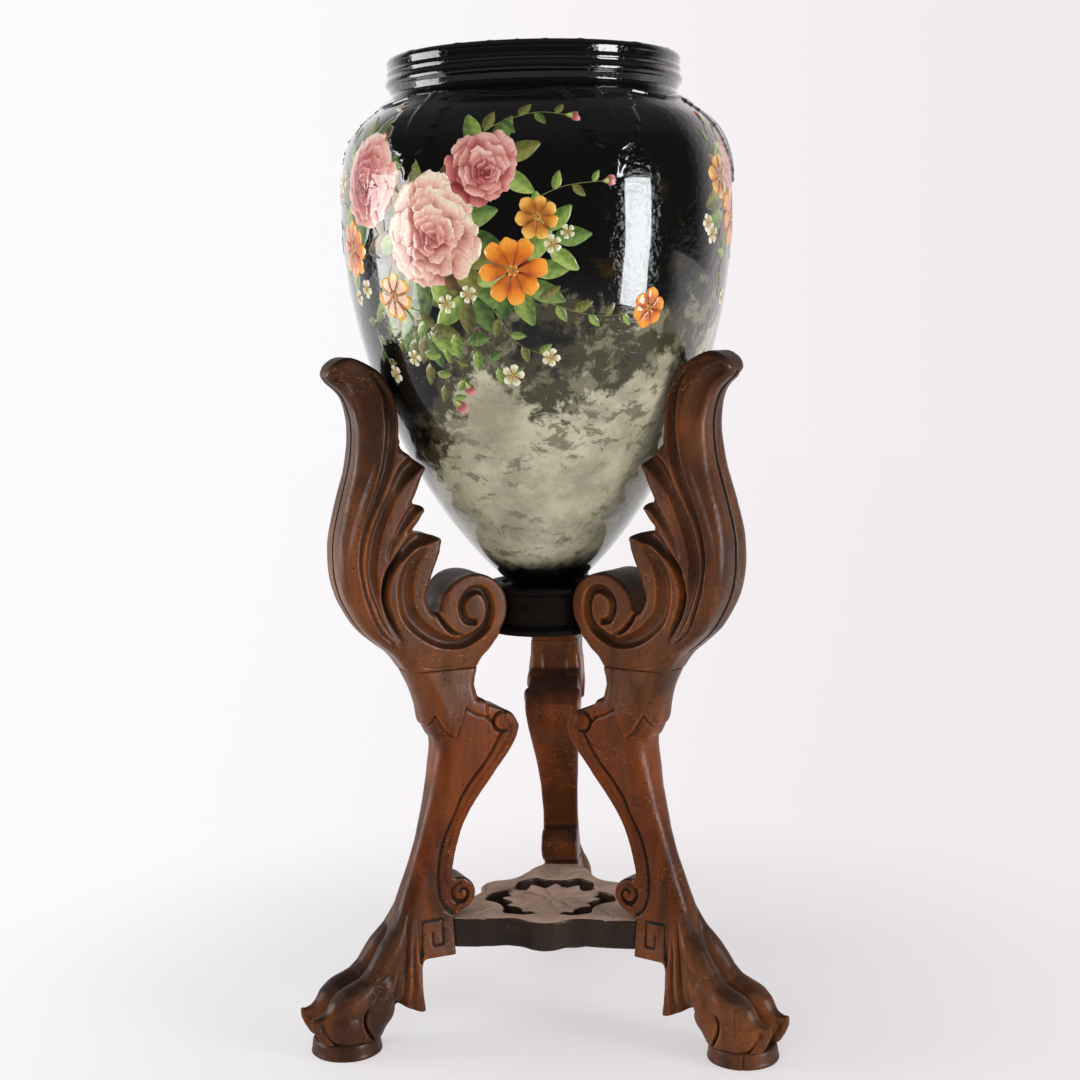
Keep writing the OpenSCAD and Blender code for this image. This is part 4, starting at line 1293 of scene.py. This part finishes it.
class Tree:
    """Short calls for building a node tree."""

    def __init__(self, tree):
        self.tree = tree
        self.tree.nodes.clear()

    def add(self, kind, inputs=None, **props):
        node = self.tree.nodes.new("ShaderNode" + kind)
        for key, value in props.items():
            setattr(node, key, value)
        for key, value in (inputs or {}).items():
            self.feed(node.inputs[key], value)
        return node

    def feed(self, socket, value):
        if isinstance(value, bpy.types.NodeSocket):
            self.tree.links.new(value, socket)
        elif isinstance(value, bpy.types.Node):
            self.tree.links.new(value.outputs[0], socket)
        else:
            socket.default_value = value

    def math(self, operation, a, b, clamp):
        return self.add("Math", {0: a, 1: b}, operation=operation, use_clamp=clamp).outputs[0]

    def plus(self, a, b, clamp=False):
        return self.math("ADD", a, b, clamp)

    def minus(self, a, b, clamp=False):
        return self.math("SUBTRACT", a, b, clamp)

    def times(self, a, b, clamp=False):
        return self.math("MULTIPLY", a, b, clamp)

    def larger(self, a, b, clamp=False):
        return self.math("MAXIMUM", a, b, clamp)

    def swing(self, noise, amount):
        """A noise about its middle, from minus to plus half the amount."""
        return self.times(self.minus(noise, 0.5), amount)

    def ramp(self, value, low, high, to_low=0.0, to_high=1.0):
        return self.add("MapRange", {"Value": value, "From Min": low, "From Max": high, "To Min": to_low,
                                     "To Max": to_high}, interpolation_type="SMOOTHSTEP").outputs[0]

    def mixed(self, share, a, b, blend="MIX"):
        node = self.add("Mix", data_type="RGBA", blend_type=blend)
        self.feed(node.inputs[0], share)
        self.feed(node.inputs[6], a)
        self.feed(node.inputs[7], b)
        return node.outputs[2]

    def noise(self, vector, scale, detail=3.0, rough=0.5, distortion=0.0):
        return self.add("TexNoise", {"Vector": vector, "Scale": scale, "Detail": detail, "Roughness": rough,
                                     "Distortion": distortion}).outputs[0]

    def stretched(self, vector, scale):
        return self.add("Mapping", {"Vector": vector, "Scale": scale}).outputs[0]

    def tinted(self, colour, by):
        """A colour multiplied by another."""
        return self.mixed(1.0, colour, (*by, 1), "MULTIPLY")

    def place(self):
        return self.add("TexCoord").outputs["Object"]

    def split(self, vector):
        return self.add("SeparateXYZ", {"Vector": vector}).outputs

    def attribute(self, name, output="Fac"):
        return self.add("Attribute", attribute_type="GEOMETRY", attribute_name=name).outputs[output]

    def ends(self):
        """The inside ends of a group: what it is given, and what it puts out."""
        return self.tree.nodes.new("NodeGroupInput").outputs, self.tree.nodes.new("NodeGroupOutput").inputs


def rgba(colour):
    return (*tuple(colour)[:3], 1.0)


def new_group(name, inputs, outputs):
    """A shader node group with named sockets, its tree, what it is given and what it puts out."""
    group = bpy.data.node_groups.new(name, "ShaderNodeTree")
    tree = Tree(group)
    for label, kind, default in inputs:
        socket = group.interface.new_socket(label, in_out="INPUT", socket_type=kind)
        socket.default_value = default
    for label, kind in outputs:
        group.interface.new_socket(label, in_out="OUTPUT", socket_type=kind)
    return group, tree, *tree.ends()


COLOUR, FLOAT = "NodeSocketColor", "NodeSocketFloat"
PALE_DUST = (0.56, 0.38, 0.29)
WORM_HOLE = (0.006, 0.004, 0.003)


def wood_group():
    """Old carved wood: stretched grain, pores, flecks, hollows darker with old wax, grime and painted shade,
    ridges lighter with rubbing and painted highlight, heads and upward faces darker with grime, wax and
    painted shade, painted shade on the back leg, dusty tops, and a few worm holes.
    """
    group, t, given, put = new_group("Old Wood", [
        ("Light", COLOUR, (0.2, 0.08, 0.03, 1)), ("Dark", COLOUR, (0.05, 0.02, 0.01, 1)),
        ("Hollow", COLOUR, (0.01, 0.006, 0.004, 1)), ("Wear and painted light", FLOAT, 1.0), ("Worm", FLOAT, 1.0),
        ("Dust", FLOAT, 0.0)], [("Color", COLOUR), ("Roughness", FLOAT), ("Height", FLOAT)])
    place = t.place()
    along = t.stretched(place, (1.0, 1.0, 0.16))
    fibre = t.noise(t.stretched(place, (1.0, 1.0, 0.045)), 260, 3, 0.6)
    figure = t.noise(along, 21, 5, 0.62, 0.9)
    cloud = t.noise(place, 6.5, 3, 0.55)
    tone = t.plus(t.times(figure, 0.62), t.times(cloud, 0.55))
    share = t.ramp(tone, 0.40, 0.78)
    colour = t.mixed(share, given["Dark"], given["Light"])
    warm = t.mixed(t.ramp(t.noise(place, 11, 2, 0.5), 0.55, 0.75, 0.0, 0.55), colour,
                   t.tinted(given["Light"], (1.35, 1.05, 0.75)))
    split = t.split(place)
    high = split["Z"]
    # The wood from 0.735 m up, the brackets' heads, is painted darker towards the dark grain colour: partly
    # old grime, partly painted shade.
    grime_and_head_shade = t.times(t.ramp(high, 0.735, 0.80), t.ramp(t.noise(place, 18, 3), 0.3, 0.6, 0.6, 0.95))
    # The wood from Y 0.10 m back, round the back leg, is painted darker: painted shade.
    back_leg_painted_shade = t.ramp(split["Y"], 0.10, 0.18, 0.0, 0.45)
    warm = t.mixed(t.larger(grime_and_head_shade, back_leg_painted_shade), warm, given["Dark"])
    bright = t.times(t.ramp(high, 0.12, 0.20), t.ramp(high, 0.39, 0.45, 1.0, 0.0))
    warm = t.mixed(bright, warm, t.tinted(warm, (1.08, 0.74, 0.26)))
    pore = t.ramp(fibre, 0.30, 0.42, 1.0, 0.0)
    streaked = t.mixed(t.times(pore, 0.55), warm, given["Dark"])
    fleck_noise = t.noise(t.stretched(place, (1.0, 1.0, 2.6)), 230, 2, 0.5, 1.2)
    fleck_patch = t.ramp(t.noise(place, 15, 2, 0.5), 0.44, 0.62)
    fleck = t.times(t.ramp(fleck_noise, 0.61, 0.67), t.times(fleck_patch, 0.7))
    flecked = t.mixed(fleck, streaked, t.tinted(given["Light"], (2.0, 2.6, 2.6)))
    hollow = t.times(t.attribute("hollow"), given["Wear and painted light"], clamp=True)
    ridge = t.times(t.attribute("ridge"), given["Wear and painted light"], clamp=True)
    # Hollows are mixed towards the Hollow colour: partly old wax and grime, partly painted shade in the
    # carving.
    dust_and_shade = t.times(t.ramp(hollow, 0.05, 0.50), t.ramp(t.noise(place, 60, 3), 0.2, 0.6, 0.70, 0.96))
    shaded = t.mixed(dust_and_shade, flecked, given["Hollow"])
    # Ridges are mixed towards a paler, cooler copy of the colour: partly rubbed patina, partly painted
    # highlight.
    worn_and_highlit = t.mixed(t.times(t.ramp(ridge, 0.10, 0.42), 0.75), shaded,
                     t.tinted(shaded, (1.9, 2.0, 2.2)))
    upward = t.split(t.add("NewGeometry").outputs["Normal"])["Z"]
    # Upward faces are painted darker towards the Hollow colour: partly old wax, partly painted shade where
    # little light falls from above.
    wax_and_top_shade = t.times(t.ramp(upward, 0.15, 0.75), t.ramp(t.noise(place, 20, 3), 0.3, 0.6, 0.55, 0.85))
    worn_and_highlit = t.mixed(t.times(wax_and_top_shade, given["Wear and painted light"]), worn_and_highlit, given["Hollow"])
    dusty = t.times(t.ramp(upward, 0.55, 0.95), given["Dust"])
    dusty = t.times(dusty, t.ramp(t.noise(place, 26, 4, 0.6), 0.2, 0.7, 0.55, 1.0))
    dusty = t.times(dusty, t.ramp(hollow, 0.1, 0.8, 1.0, 0.35))
    worn_and_highlit = t.mixed(dusty, worn_and_highlit, rgba(PALE_DUST))
    cells = t.add("TexVoronoi", {"Vector": place, "Scale": 125.0, "Randomness": 1.0}, feature="F1")
    chosen = t.ramp(t.add("SeparateColor", {"Color": cells.outputs["Color"]}).outputs[0], 0.46, 0.48)
    hole = t.times(t.ramp(cells.outputs["Distance"], 0.095, 0.130, 1.0, 0.0), chosen)
    hole = t.times(hole, given["Worm"])
    t.feed(put["Color"], t.mixed(hole, worn_and_highlit, rgba(WORM_HOLE)))
    rough = t.plus(t.ramp(t.noise(place, 24, 3), 0.3, 0.7, 0.30, 0.46), t.times(hollow, 0.30))
    rough = t.minus(rough, t.times(ridge, 0.18))
    rough = t.plus(rough, t.times(wax_and_top_shade, 0.25))
    rough = t.plus(rough, t.times(dusty, 0.35))
    t.feed(put["Roughness"], t.plus(rough, t.times(hole, 0.3), clamp=True))
    height = t.minus(t.times(fibre, 0.35), t.times(hole, 1.6))
    height = t.plus(height, t.times(t.noise(place, 90, 3, 0.6), 0.8))
    t.feed(put["Height"], height)
    return group


def material(name, **sockets):
    """A material with one Principled shader whose constant values sit on its own sockets."""
    made = bpy.data.materials.new(name)
    made.use_nodes = True
    t = Tree(made.node_tree)
    shader = t.add("BsdfPrincipled")
    for label, value in sockets.items():
        shader.inputs[label.replace("_", " ")].default_value = value
    t.add("OutputMaterial", {0: shader})
    return made, t, shader.inputs


def bumped(t, height, distance, strength=1.0):
    return t.add("Bump", {"Height": height, "Distance": distance, "Strength": strength}).outputs[0]


# This share also sets how strongly hollows and tops are painted darker and ridges lighter: real rubbing and
# grime, and painted shade and painted highlight.
def wood_material(name, light, dark, hollow, wear_and_painted_light=1.0, worm=1.0, dust_and_shade=0.0, bump=0.00042, **sockets):
    """A material of old wood with its own colours and its own shares of wear_and_painted_light, worm and
    dust_and_shade.
    """
    made, t, shader = material(name, **sockets)
    wood = t.add("Group", node_tree=shared("wood", wood_group))
    for label, value in (("Light", rgba(light)), ("Dark", rgba(dark)), ("Hollow", rgba(hollow)),
                         ("Wear and painted light", wear_and_painted_light), ("Worm", worm), ("Dust", dust_and_shade)):
        wood.inputs[label].default_value = value
    t.feed(shader["Base Color"], wood.outputs["Color"])
    t.feed(shader["Roughness"], wood.outputs["Roughness"])
    t.feed(shader["Normal"], bumped(t, wood.outputs["Height"], bump))
    return made


# Colours of the glaze's clouds: cream and smudges in the pale part, grey in the olive, rust in the black
CLOUD_CREAM = (0.50, 0.46, 0.32)
CLOUD_SMUDGE = (0.10, 0.09, 0.052)
CLOUD_GREY = (0.17, 0.155, 0.095)
CLOUD_RUST = (0.045, 0.026, 0.006)
# Depth of the bumps in the glaze and the paint, in metres
GLAZE_BUMP = 0.0012


def glaze_material(settings):
    """The vase's glaze: black above, olive and cream clouds in the middle, pale celadon below, and dark at the
    foot, partly painted shade.
    """
    made, t, shader = material("Vase glaze", IOR=1.5, Specular_IOR_Level=0.25, Coat_Weight=1.0, Coat_IOR=1.58,
                               Coat_Roughness=0.03)
    place = t.place()
    split = t.split(place)
    height = t.minus(split["Z"], t.times(split["X"], 0.26))
    height = t.plus(height, t.ramp(split["X"], -0.16, -0.04, 0.09, 0.0))
    slow = t.noise(place, 6.0, 4, 0.6, 0.5)
    mid = t.noise(place, 17.0, 5, 0.65, 0.6)
    fine = t.noise(place, 70.0, 5, 0.7)
    level = t.plus(height, t.swing(slow, 0.34))
    level = t.plus(level, t.swing(mid, 0.22))
    level = t.plus(level, t.swing(fine, 0.12))
    pale = t.mixed(t.ramp(t.noise(place, 13.0, 5, 0.65), 0.38, 0.62), rgba(settings.celadon),
                   rgba(CLOUD_CREAM))
    dabs = t.noise(t.stretched(place, (1.0, 1.0, 1.7)), 32.0, 6, 0.72, 0.4)
    smudge = t.times(t.ramp(dabs, 0.52, 0.60), t.ramp(t.noise(place, 9.0, 2), 0.36, 0.56))
    pale = t.mixed(t.times(smudge, 0.75), pale, rgba(CLOUD_SMUDGE))
    grey = t.mixed(t.ramp(t.noise(place, 38.0, 5, 0.7, 0.5), 0.50, 0.60), rgba(settings.olive),
                   rgba(CLOUD_GREY))
    clouds = t.mixed(t.ramp(level, 0.785, 0.815), pale, grey)
    dark = t.mixed(t.ramp(t.noise(place, 22.0, 5, 0.65), 0.56, 0.76, 0.0, 0.6), rgba(settings.night),
                   rgba(CLOUD_RUST))
    dark = t.mixed(t.ramp(level, 0.95, 1.02), dark, rgba(settings.night))
    body = t.mixed(t.ramp(level, 0.850, 0.895), clouds, dark)
    # The foot is mixed to the dark glaze colour: partly the glaze's own dark foot, partly painted shade where
    # it stands in the cup.
    foot = t.plus(split["Z"], t.swing(mid, 0.05))
    t.feed(shader["Base Color"], t.mixed(t.ramp(foot, 0.578, 0.612), rgba(settings.night), body))
    t.feed(shader["Roughness"], t.ramp(t.noise(place, 120.0, 3), 0.3, 0.7, 0.05, 0.11))
    pits = t.noise(place, 420.0, 2, 0.5)
    ripples = t.plus(glaze_waves(t, place), t.times(pits, 0.05))
    t.feed(shader["Normal"], bumped(t, ripples, GLAZE_BUMP, 0.9))
    return made


def glaze_waves(t, place):
    """The fine wrinkles of the fired glaze, which break up every reflection in it."""
    return t.noise(t.stretched(place, (1.0, 1.0, 1.5)), 92.0, 3, 0.5)


def paint_material():
    """Painted slip under glaze: the petals' own tints, broken by fine brush streaks."""
    made, t, shader = material("Painted slip", IOR=1.5, Specular_IOR_Level=0.3, Coat_Weight=0.85,
                               Coat_IOR=1.55, Coat_Roughness=0.04)
    tint = t.attribute("tint", "Color")
    petals = t.attribute("petal", "Vector")
    place = t.place()
    streak = t.noise(t.stretched(petals, (5.0, 1.4, 9.0)), 2.4, 4, 0.65, 0.3)
    dabs = t.noise(place, 150.0, 4, 0.6)
    light = t.mixed(t.ramp(streak, 0.50, 0.72, 0.0, 0.55), tint, t.tinted(tint, (1.35, 1.35, 1.3)))
    deep = t.mixed(t.ramp(streak, 0.30, 0.46, 0.65, 0.0), light, t.tinted(tint, (0.42, 0.36, 0.32)))
    dabbed = t.mixed(t.ramp(dabs, 0.55, 0.75, 0.0, 0.25), deep, t.tinted(deep, (0.55, 0.5, 0.45)))
    t.feed(shader["Base Color"], dabbed)
    t.feed(shader["Roughness"], t.ramp(dabs, 0.3, 0.7, 0.12, 0.24))
    rough = t.plus(t.times(streak, 0.3), t.times(dabs, 0.3))
    rough = t.plus(rough, glaze_waves(t, place))
    t.feed(shader["Normal"], bumped(t, rough, GLAZE_BUMP, 0.8))
    return made


def dress(obj, made, body, slot_name, *nodes):
    """Gives a piece its material and its body, and hides the nodes that it stands for. Its slot name is not
    used.
    """
    obj.data.materials.clear()
    obj.data.materials.append(made)
    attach(obj, body)
    if nodes:
        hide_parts(*nodes)


def shared(name, make):
    """A node group or material that is built once and then used again."""
    if name not in SHARED:
        SHARED[name] = make()
    return SHARED[name]


SHARED = {}


def walnut(stand):
    """The walnut of the brackets and the paw legs."""
    return shared("walnut", lambda: wood_material(
        "Carved walnut", stand.walnut_light, stand.walnut_dark, stand.hollow_dark, Specular_IOR_Level=0.27,
        Coat_Weight=0.07, Coat_Roughness=0.20))


def darker(colour, share):
    return [c * share for c in colour]


def three_copies(mesh, kind, made, slot_name, node):
    """Three copies of one leg's piece, turned to their places and dressed, each for its own node."""
    for side, angle in LEGS.items():
        dress(turned_copy(mesh, f"{kind}_{side}", angle), made, "stand", slot_name, node.format(side))
    bpy.data.meshes.remove(mesh)


# Colours of the black cup block and of the dowels: light, dark and hollow
EBONISED = ((0.0085, 0.0058, 0.0045), (0.005, 0.0038, 0.0032), (0.003, 0.0025, 0.002))
BEECH = ((0.62, 0.42, 0.25), (0.42, 0.26, 0.14), (0.2, 0.12, 0.06))
DOWELS = ("cup_dowels", "leg_dowels", "shelf_dowels", "pad_dowels")


# Operators, one for each piece or group of like pieces

class TRIPOD_OT_brackets(Operator):
    """Carve the three acanthus brackets that hold the vase"""
    bl_idname = "tripod.brackets"
    bl_label = "Brackets"
    bl_options = {"REGISTER", "UNDO"}

    def execute(self, context):
        stand = context.scene.tripod_stand
        three_copies(upper_leg_mesh(stand), "bracket", walnut(stand), "walnut", "leg_{}_upper")
        return {"FINISHED"}


class TRIPOD_OT_paw_legs(Operator):
    """Carve the three lower legs with their scrolls, cuffs, key blocks and paws"""
    bl_idname = "tripod.paw_legs"
    bl_label = "Paw legs"
    bl_options = {"REGISTER", "UNDO"}

    def execute(self, context):
        stand = context.scene.tripod_stand
        three_copies(lower_leg_mesh(stand), "paw_leg", walnut(stand), "walnut", "leg_{}_lower")
        return {"FINISHED"}


class TRIPOD_OT_pads(Operator):
    """Turn the three round pads under the paws"""
    bl_idname = "tripod.pads"
    bl_label = "Foot pads"
    bl_options = {"REGISTER", "UNDO"}

    def execute(self, context):
        stand = context.scene.tripod_stand
        made = wood_material("Pad wood", darker(stand.walnut_light, 0.62), darker(stand.walnut_dark, 0.7),
                             stand.hollow_dark, worm=0.4, Specular_IOR_Level=0.34, Coat_Weight=0.06,
                             Coat_Roughness=0.3)
        three_copies(pad_mesh(), "pad", made, "dark_walnut", "foot_pad_{}")
        return {"FINISHED"}


class TRIPOD_OT_shelf(Operator):
    """Saw and carve the pierced shelf between the legs"""
    bl_idname = "tripod.shelf"
    bl_label = "Shelf"
    bl_options = {"REGISTER", "UNDO"}

    def execute(self, context):
        stand = context.scene.tripod_stand
        mesh = shelf_mesh(stand)
        made = wood_material("Shelf wood", stand.shelf_light, darker(stand.shelf_light, 0.45),
                             stand.hollow_dark, worm=0.5, dust_and_shade=0.9, Specular_IOR_Level=0.3)
        dress(turned_copy(mesh, "carved_shelf", 0), made, "stand", "dark_walnut", "shelf")
        bpy.data.meshes.remove(mesh)
        return {"FINISHED"}


class TRIPOD_OT_cup(Operator):
    """Turn the black spool that the vase's foot stands in"""
    bl_idname = "tripod.cup"
    bl_label = "Cup block"
    bl_options = {"REGISTER", "UNDO"}

    def execute(self, context):
        made = wood_material("Ebonised wood", *EBONISED, worm=0.0, bump=0.00012, Specular_IOR_Level=0.1)
        dress(placed("turned_cup", cup_mesh()), made, "stand", "ebonised_wood", "cup_block")
        return {"FINISHED"}


class TRIPOD_OT_dowels(Operator):
    """Give the hidden dowels their turned beech"""
    bl_idname = "tripod.dowels"
    bl_label = "Dowels"
    bl_options = {"REGISTER", "UNDO"}

    def execute(self, context):
        made = wood_material("Beech", *BEECH, wear_and_painted_light=0.0, worm=0.0)
        for name in DOWELS:
            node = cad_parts[name]
            node.data.materials.clear()
            node.data.materials.append(made)
        return {"FINISHED"}


class TRIPOD_OT_vase(Operator):
    """Spin the vase with its raised shoulder border and its rim"""
    bl_idname = "tripod.vase"
    bl_label = "Vase"
    bl_options = {"REGISTER", "UNDO"}

    def execute(self, context):
        settings = context.scene.tripod_vase
        obj = placed("glazed_vase", vase_mesh(settings))
        dress(obj, glaze_material(settings), "vase", "glaze", "vase")
        return {"FINISHED"}


class TRIPOD_OT_flowers(Operator):
    """Lay the painted flowers on the wall of the vase"""
    bl_idname = "tripod.flowers"
    bl_label = "Painted flowers"
    bl_options = {"REGISTER", "UNDO"}

    def execute(self, context):
        settings = context.scene.tripod_flowers
        made = paint_material()
        bouquets = (("front_bouquet", front_bouquet), ("side_bouquets", side_bouquets))
        for number, (name, draw) in enumerate(bouquets):
            painting = Painting(settings.seed + number, settings.relief)
            draw(painting)
            dress(painting.finish(name), made, "vase", "glaze")
        return {"FINISHED"}


# The lamps: place, target, width and height, power, colour, and whether the glaze mirrors them
LAMPS = {
    "Window right": ((2.28, -1.15, 0.74), (0, 0, 0.74), (0.72, 1.32), 39, (0.94, 0.97, 1.0), True),
    "Window left": ((-2.42, -0.25, 0.80), (0, 0, 0.80), (1.3, 1.4), 34, (1.0, 0.98, 0.96), True),
    "Room": ((-0.9, -3.0, 1.5), (0, 0, 0.6), (1.6, 1.6), 30, (1, 1, 1), False),
    "Ceiling": ((0, 0.2, 3.4), (0, 0, 0.6), (2.6, 2.6), 12, (1, 1, 1), False),
}


def area_light(name, place, target, size, power, colour, mirrored_in_glaze):
    """A soft rectangular lamp at a place, turned to a target."""
    lamp = bpy.data.lights.new(name, "AREA")
    lamp.shape = "RECTANGLE"
    lamp.size, lamp.size_y = size
    lamp.energy = power
    lamp.color = colour
    obj = placed(name, lamp)
    obj.location = place
    obj.rotation_euler = (Vector(target) - Vector(place)).to_track_quat("-Z", "Y").to_euler()
    obj.visible_glossy = mirrored_in_glaze


# Swing round the axis, yaw, pitch down and roll of the photograph's camera, in radians
CAMERA_TURNS = (0.1021, -0.002, 0.1218, -0.0219)
SENSOR_WIDTH = 36.0


def make_camera(settings):
    """The photograph's camera: its place, its turn, its tilt and its slight roll."""
    swing, yaw, pitch, roll = CAMERA_TURNS
    distance = settings.distance
    place = Vector((distance * math.sin(swing), -distance * math.cos(swing), settings.height))
    camera = placed("Camera", bpy.data.cameras.new("Camera"))
    camera.data.lens = settings.lens
    camera.data.sensor_width = SENSOR_WIDTH
    turn = Matrix.Rotation(swing - yaw, 4, "Z")
    tilt = Matrix.Rotation(math.pi / 2 - pitch, 4, "X")
    camera.matrix_world = Matrix.Translation(place) @ turn @ tilt @ Matrix.Rotation(roll, 4, "Z")
    bpy.context.scene.camera = camera


# The paper's colours on the left and on the right
PAPER_LEFT = (0.973, 0.955, 0.975)
PAPER_RIGHT = (0.885, 0.825, 0.840)


def paper(t, way):
    """The pale backdrop's colour along a way: nearly white on the left, pinker and darker on the right."""
    straight = t.add("VectorMath", {0: way}, operation="NORMALIZE").outputs[0]
    across = t.split(straight)["X"]
    return t.mixed(t.ramp(across, -0.28, 0.20), rgba(PAPER_LEFT), rgba(PAPER_RIGHT))


def make_world():
    """Soft even light, with pale paper for the camera and a room that is dark in front for reflections."""
    world = bpy.data.worlds.new("Studio")
    world.use_nodes = True
    t = Tree(world.node_tree)
    way = t.add("TexCoord").outputs["Generated"]
    split = t.split(way)
    path = t.add("LightPath").outputs
    pale = paper(t, way)
    behind = t.times(t.ramp(split["Y"], 0.30, 0.75), t.ramp(split["Z"], 0.35, 0.75, 1.0, 0.0))
    room = t.mixed(t.ramp(split["Z"], 0.35, 0.8), (0.026, 0.026, 0.028, 1), (0.10, 0.10, 0.105, 1))
    glossy = t.mixed(behind, room, pale)
    colour = t.mixed(path["Is Glossy Ray"], (0.36, 0.36, 0.375, 1), glossy)
    seen = t.larger(path["Is Camera Ray"], path["Is Transmission Ray"])
    colour = t.mixed(seen, colour, pale)
    t.add("OutputWorld", {0: t.add("Background", {"Color": colour, "Strength": 1.0})})
    bpy.context.scene.world = world


def floor_material(colour):
    """The pale floor: lit and shadowed by the stand, and running into the paper behind it."""
    made = bpy.data.materials.new("Pale floor")
    made.use_nodes = True
    t = Tree(made.node_tree)
    place = t.place()
    lit = t.add("BsdfPrincipled", {"Base Color": rgba(colour), "Roughness": 0.6, "Specular IOR Level": 0.25})
    path = t.add("LightPath").outputs
    away = t.add("VectorMath", {0: place}, operation="LENGTH").outputs["Value"]
    deep = t.split(place)["Y"]
    ahead = t.add("VectorMath", {0: place, 1: (0.0, -2.31, 0.89)}, operation="SUBTRACT").outputs[0]
    mirrored_floor = t.mixed(t.ramp(deep, -0.3, 0.9), (0.34, 0.34, 0.35, 1), (0.85, 0.85, 0.86, 1))
    front = t.times(t.ramp(away, 0.8, 4.5), t.ramp(deep, -0.5, 1.0, 1.0, 0.0))
    mirrored_floor = t.mixed(front, mirrored_floor, (0.028, 0.028, 0.030, 1))
    glow = t.add("Emission", {"Color": t.mixed(path["Is Glossy Ray"], paper(t, ahead), mirrored_floor),
                              "Strength": 1.0})
    seen = t.larger(path["Is Camera Ray"], path["Is Transmission Ray"])
    share = t.larger(t.times(seen, t.ramp(away, 0.38, 1.00, 0.55, 1.0)), path["Is Glossy Ray"])
    t.add("OutputMaterial", {0: t.add("MixShader", {0: share, 1: lit, 2: glow})})
    return made


class TRIPOD_OT_stage(Operator):
    """Set the pale floor, the soft lamps and the camera"""
    bl_idname = "tripod.stage"
    bl_label = "Stage"
    bl_options = {"REGISTER", "UNDO"}

    def execute(self, context):
        settings = context.scene.tripod_stage
        bm = bmesh.new()
        bmesh.ops.create_circle(bm, cap_ends=True, segments=96, radius=9.0)
        floor = placed("studio_floor", as_mesh("studio_floor", bm))
        floor.data.materials.append(floor_material(settings.floor))
        make_camera(settings)
        make_world()
        for name, lamp in LAMPS.items():
            area_light(name, *lamp)
        context.scene.view_settings.view_transform = "Standard"
        return {"FINISHED"}


class TRIPOD_PT_panel(Panel):
    """Lists the pieces of the vase on its tripod"""
    bl_label = "Vase on Tripod"
    bl_idname = "TRIPOD_PT_panel"
    bl_space_type = "VIEW_3D"
    bl_region_type = "UI"
    bl_category = "Tripod"

    def draw(self, context):
        for name, group in SETTINGS.items():
            box = self.layout.box()
            box.label(text=name.removeprefix("tripod_").capitalize())
            for key in group.__annotations__:
                box.prop(getattr(context.scene, name), key)
        for operator in OPERATORS:
            self.layout.operator(operator.bl_idname)


OPERATORS = (TRIPOD_OT_stage, TRIPOD_OT_brackets, TRIPOD_OT_paw_legs, TRIPOD_OT_pads, TRIPOD_OT_shelf,
             TRIPOD_OT_cup, TRIPOD_OT_dowels, TRIPOD_OT_vase, TRIPOD_OT_flowers)
SETTINGS = {"tripod_stand": StandSettings, "tripod_vase": VaseSettings, "tripod_flowers": FlowerSettings,
            "tripod_stage": StageSettings}


def register():
    for name, group in SETTINGS.items():
        bpy.utils.register_class(group)
        setattr(bpy.types.Scene, name, PointerProperty(type=group))
    for cls in (*OPERATORS, TRIPOD_PT_panel):
        bpy.utils.register_class(cls)


def unregister():
    for cls in reversed((*OPERATORS, TRIPOD_PT_panel)):
        bpy.utils.unregister_class(cls)
    for name, group in SETTINGS.items():
        delattr(bpy.types.Scene, name)
        bpy.utils.unregister_class(group)


def main():
    """Builds every piece in order."""
    register()
    for operator in OPERATORS:
        family, name = operator.bl_idname.split(".")
        getattr(getattr(bpy.ops, family), name)()


if __name__ == "__main__":
    main()
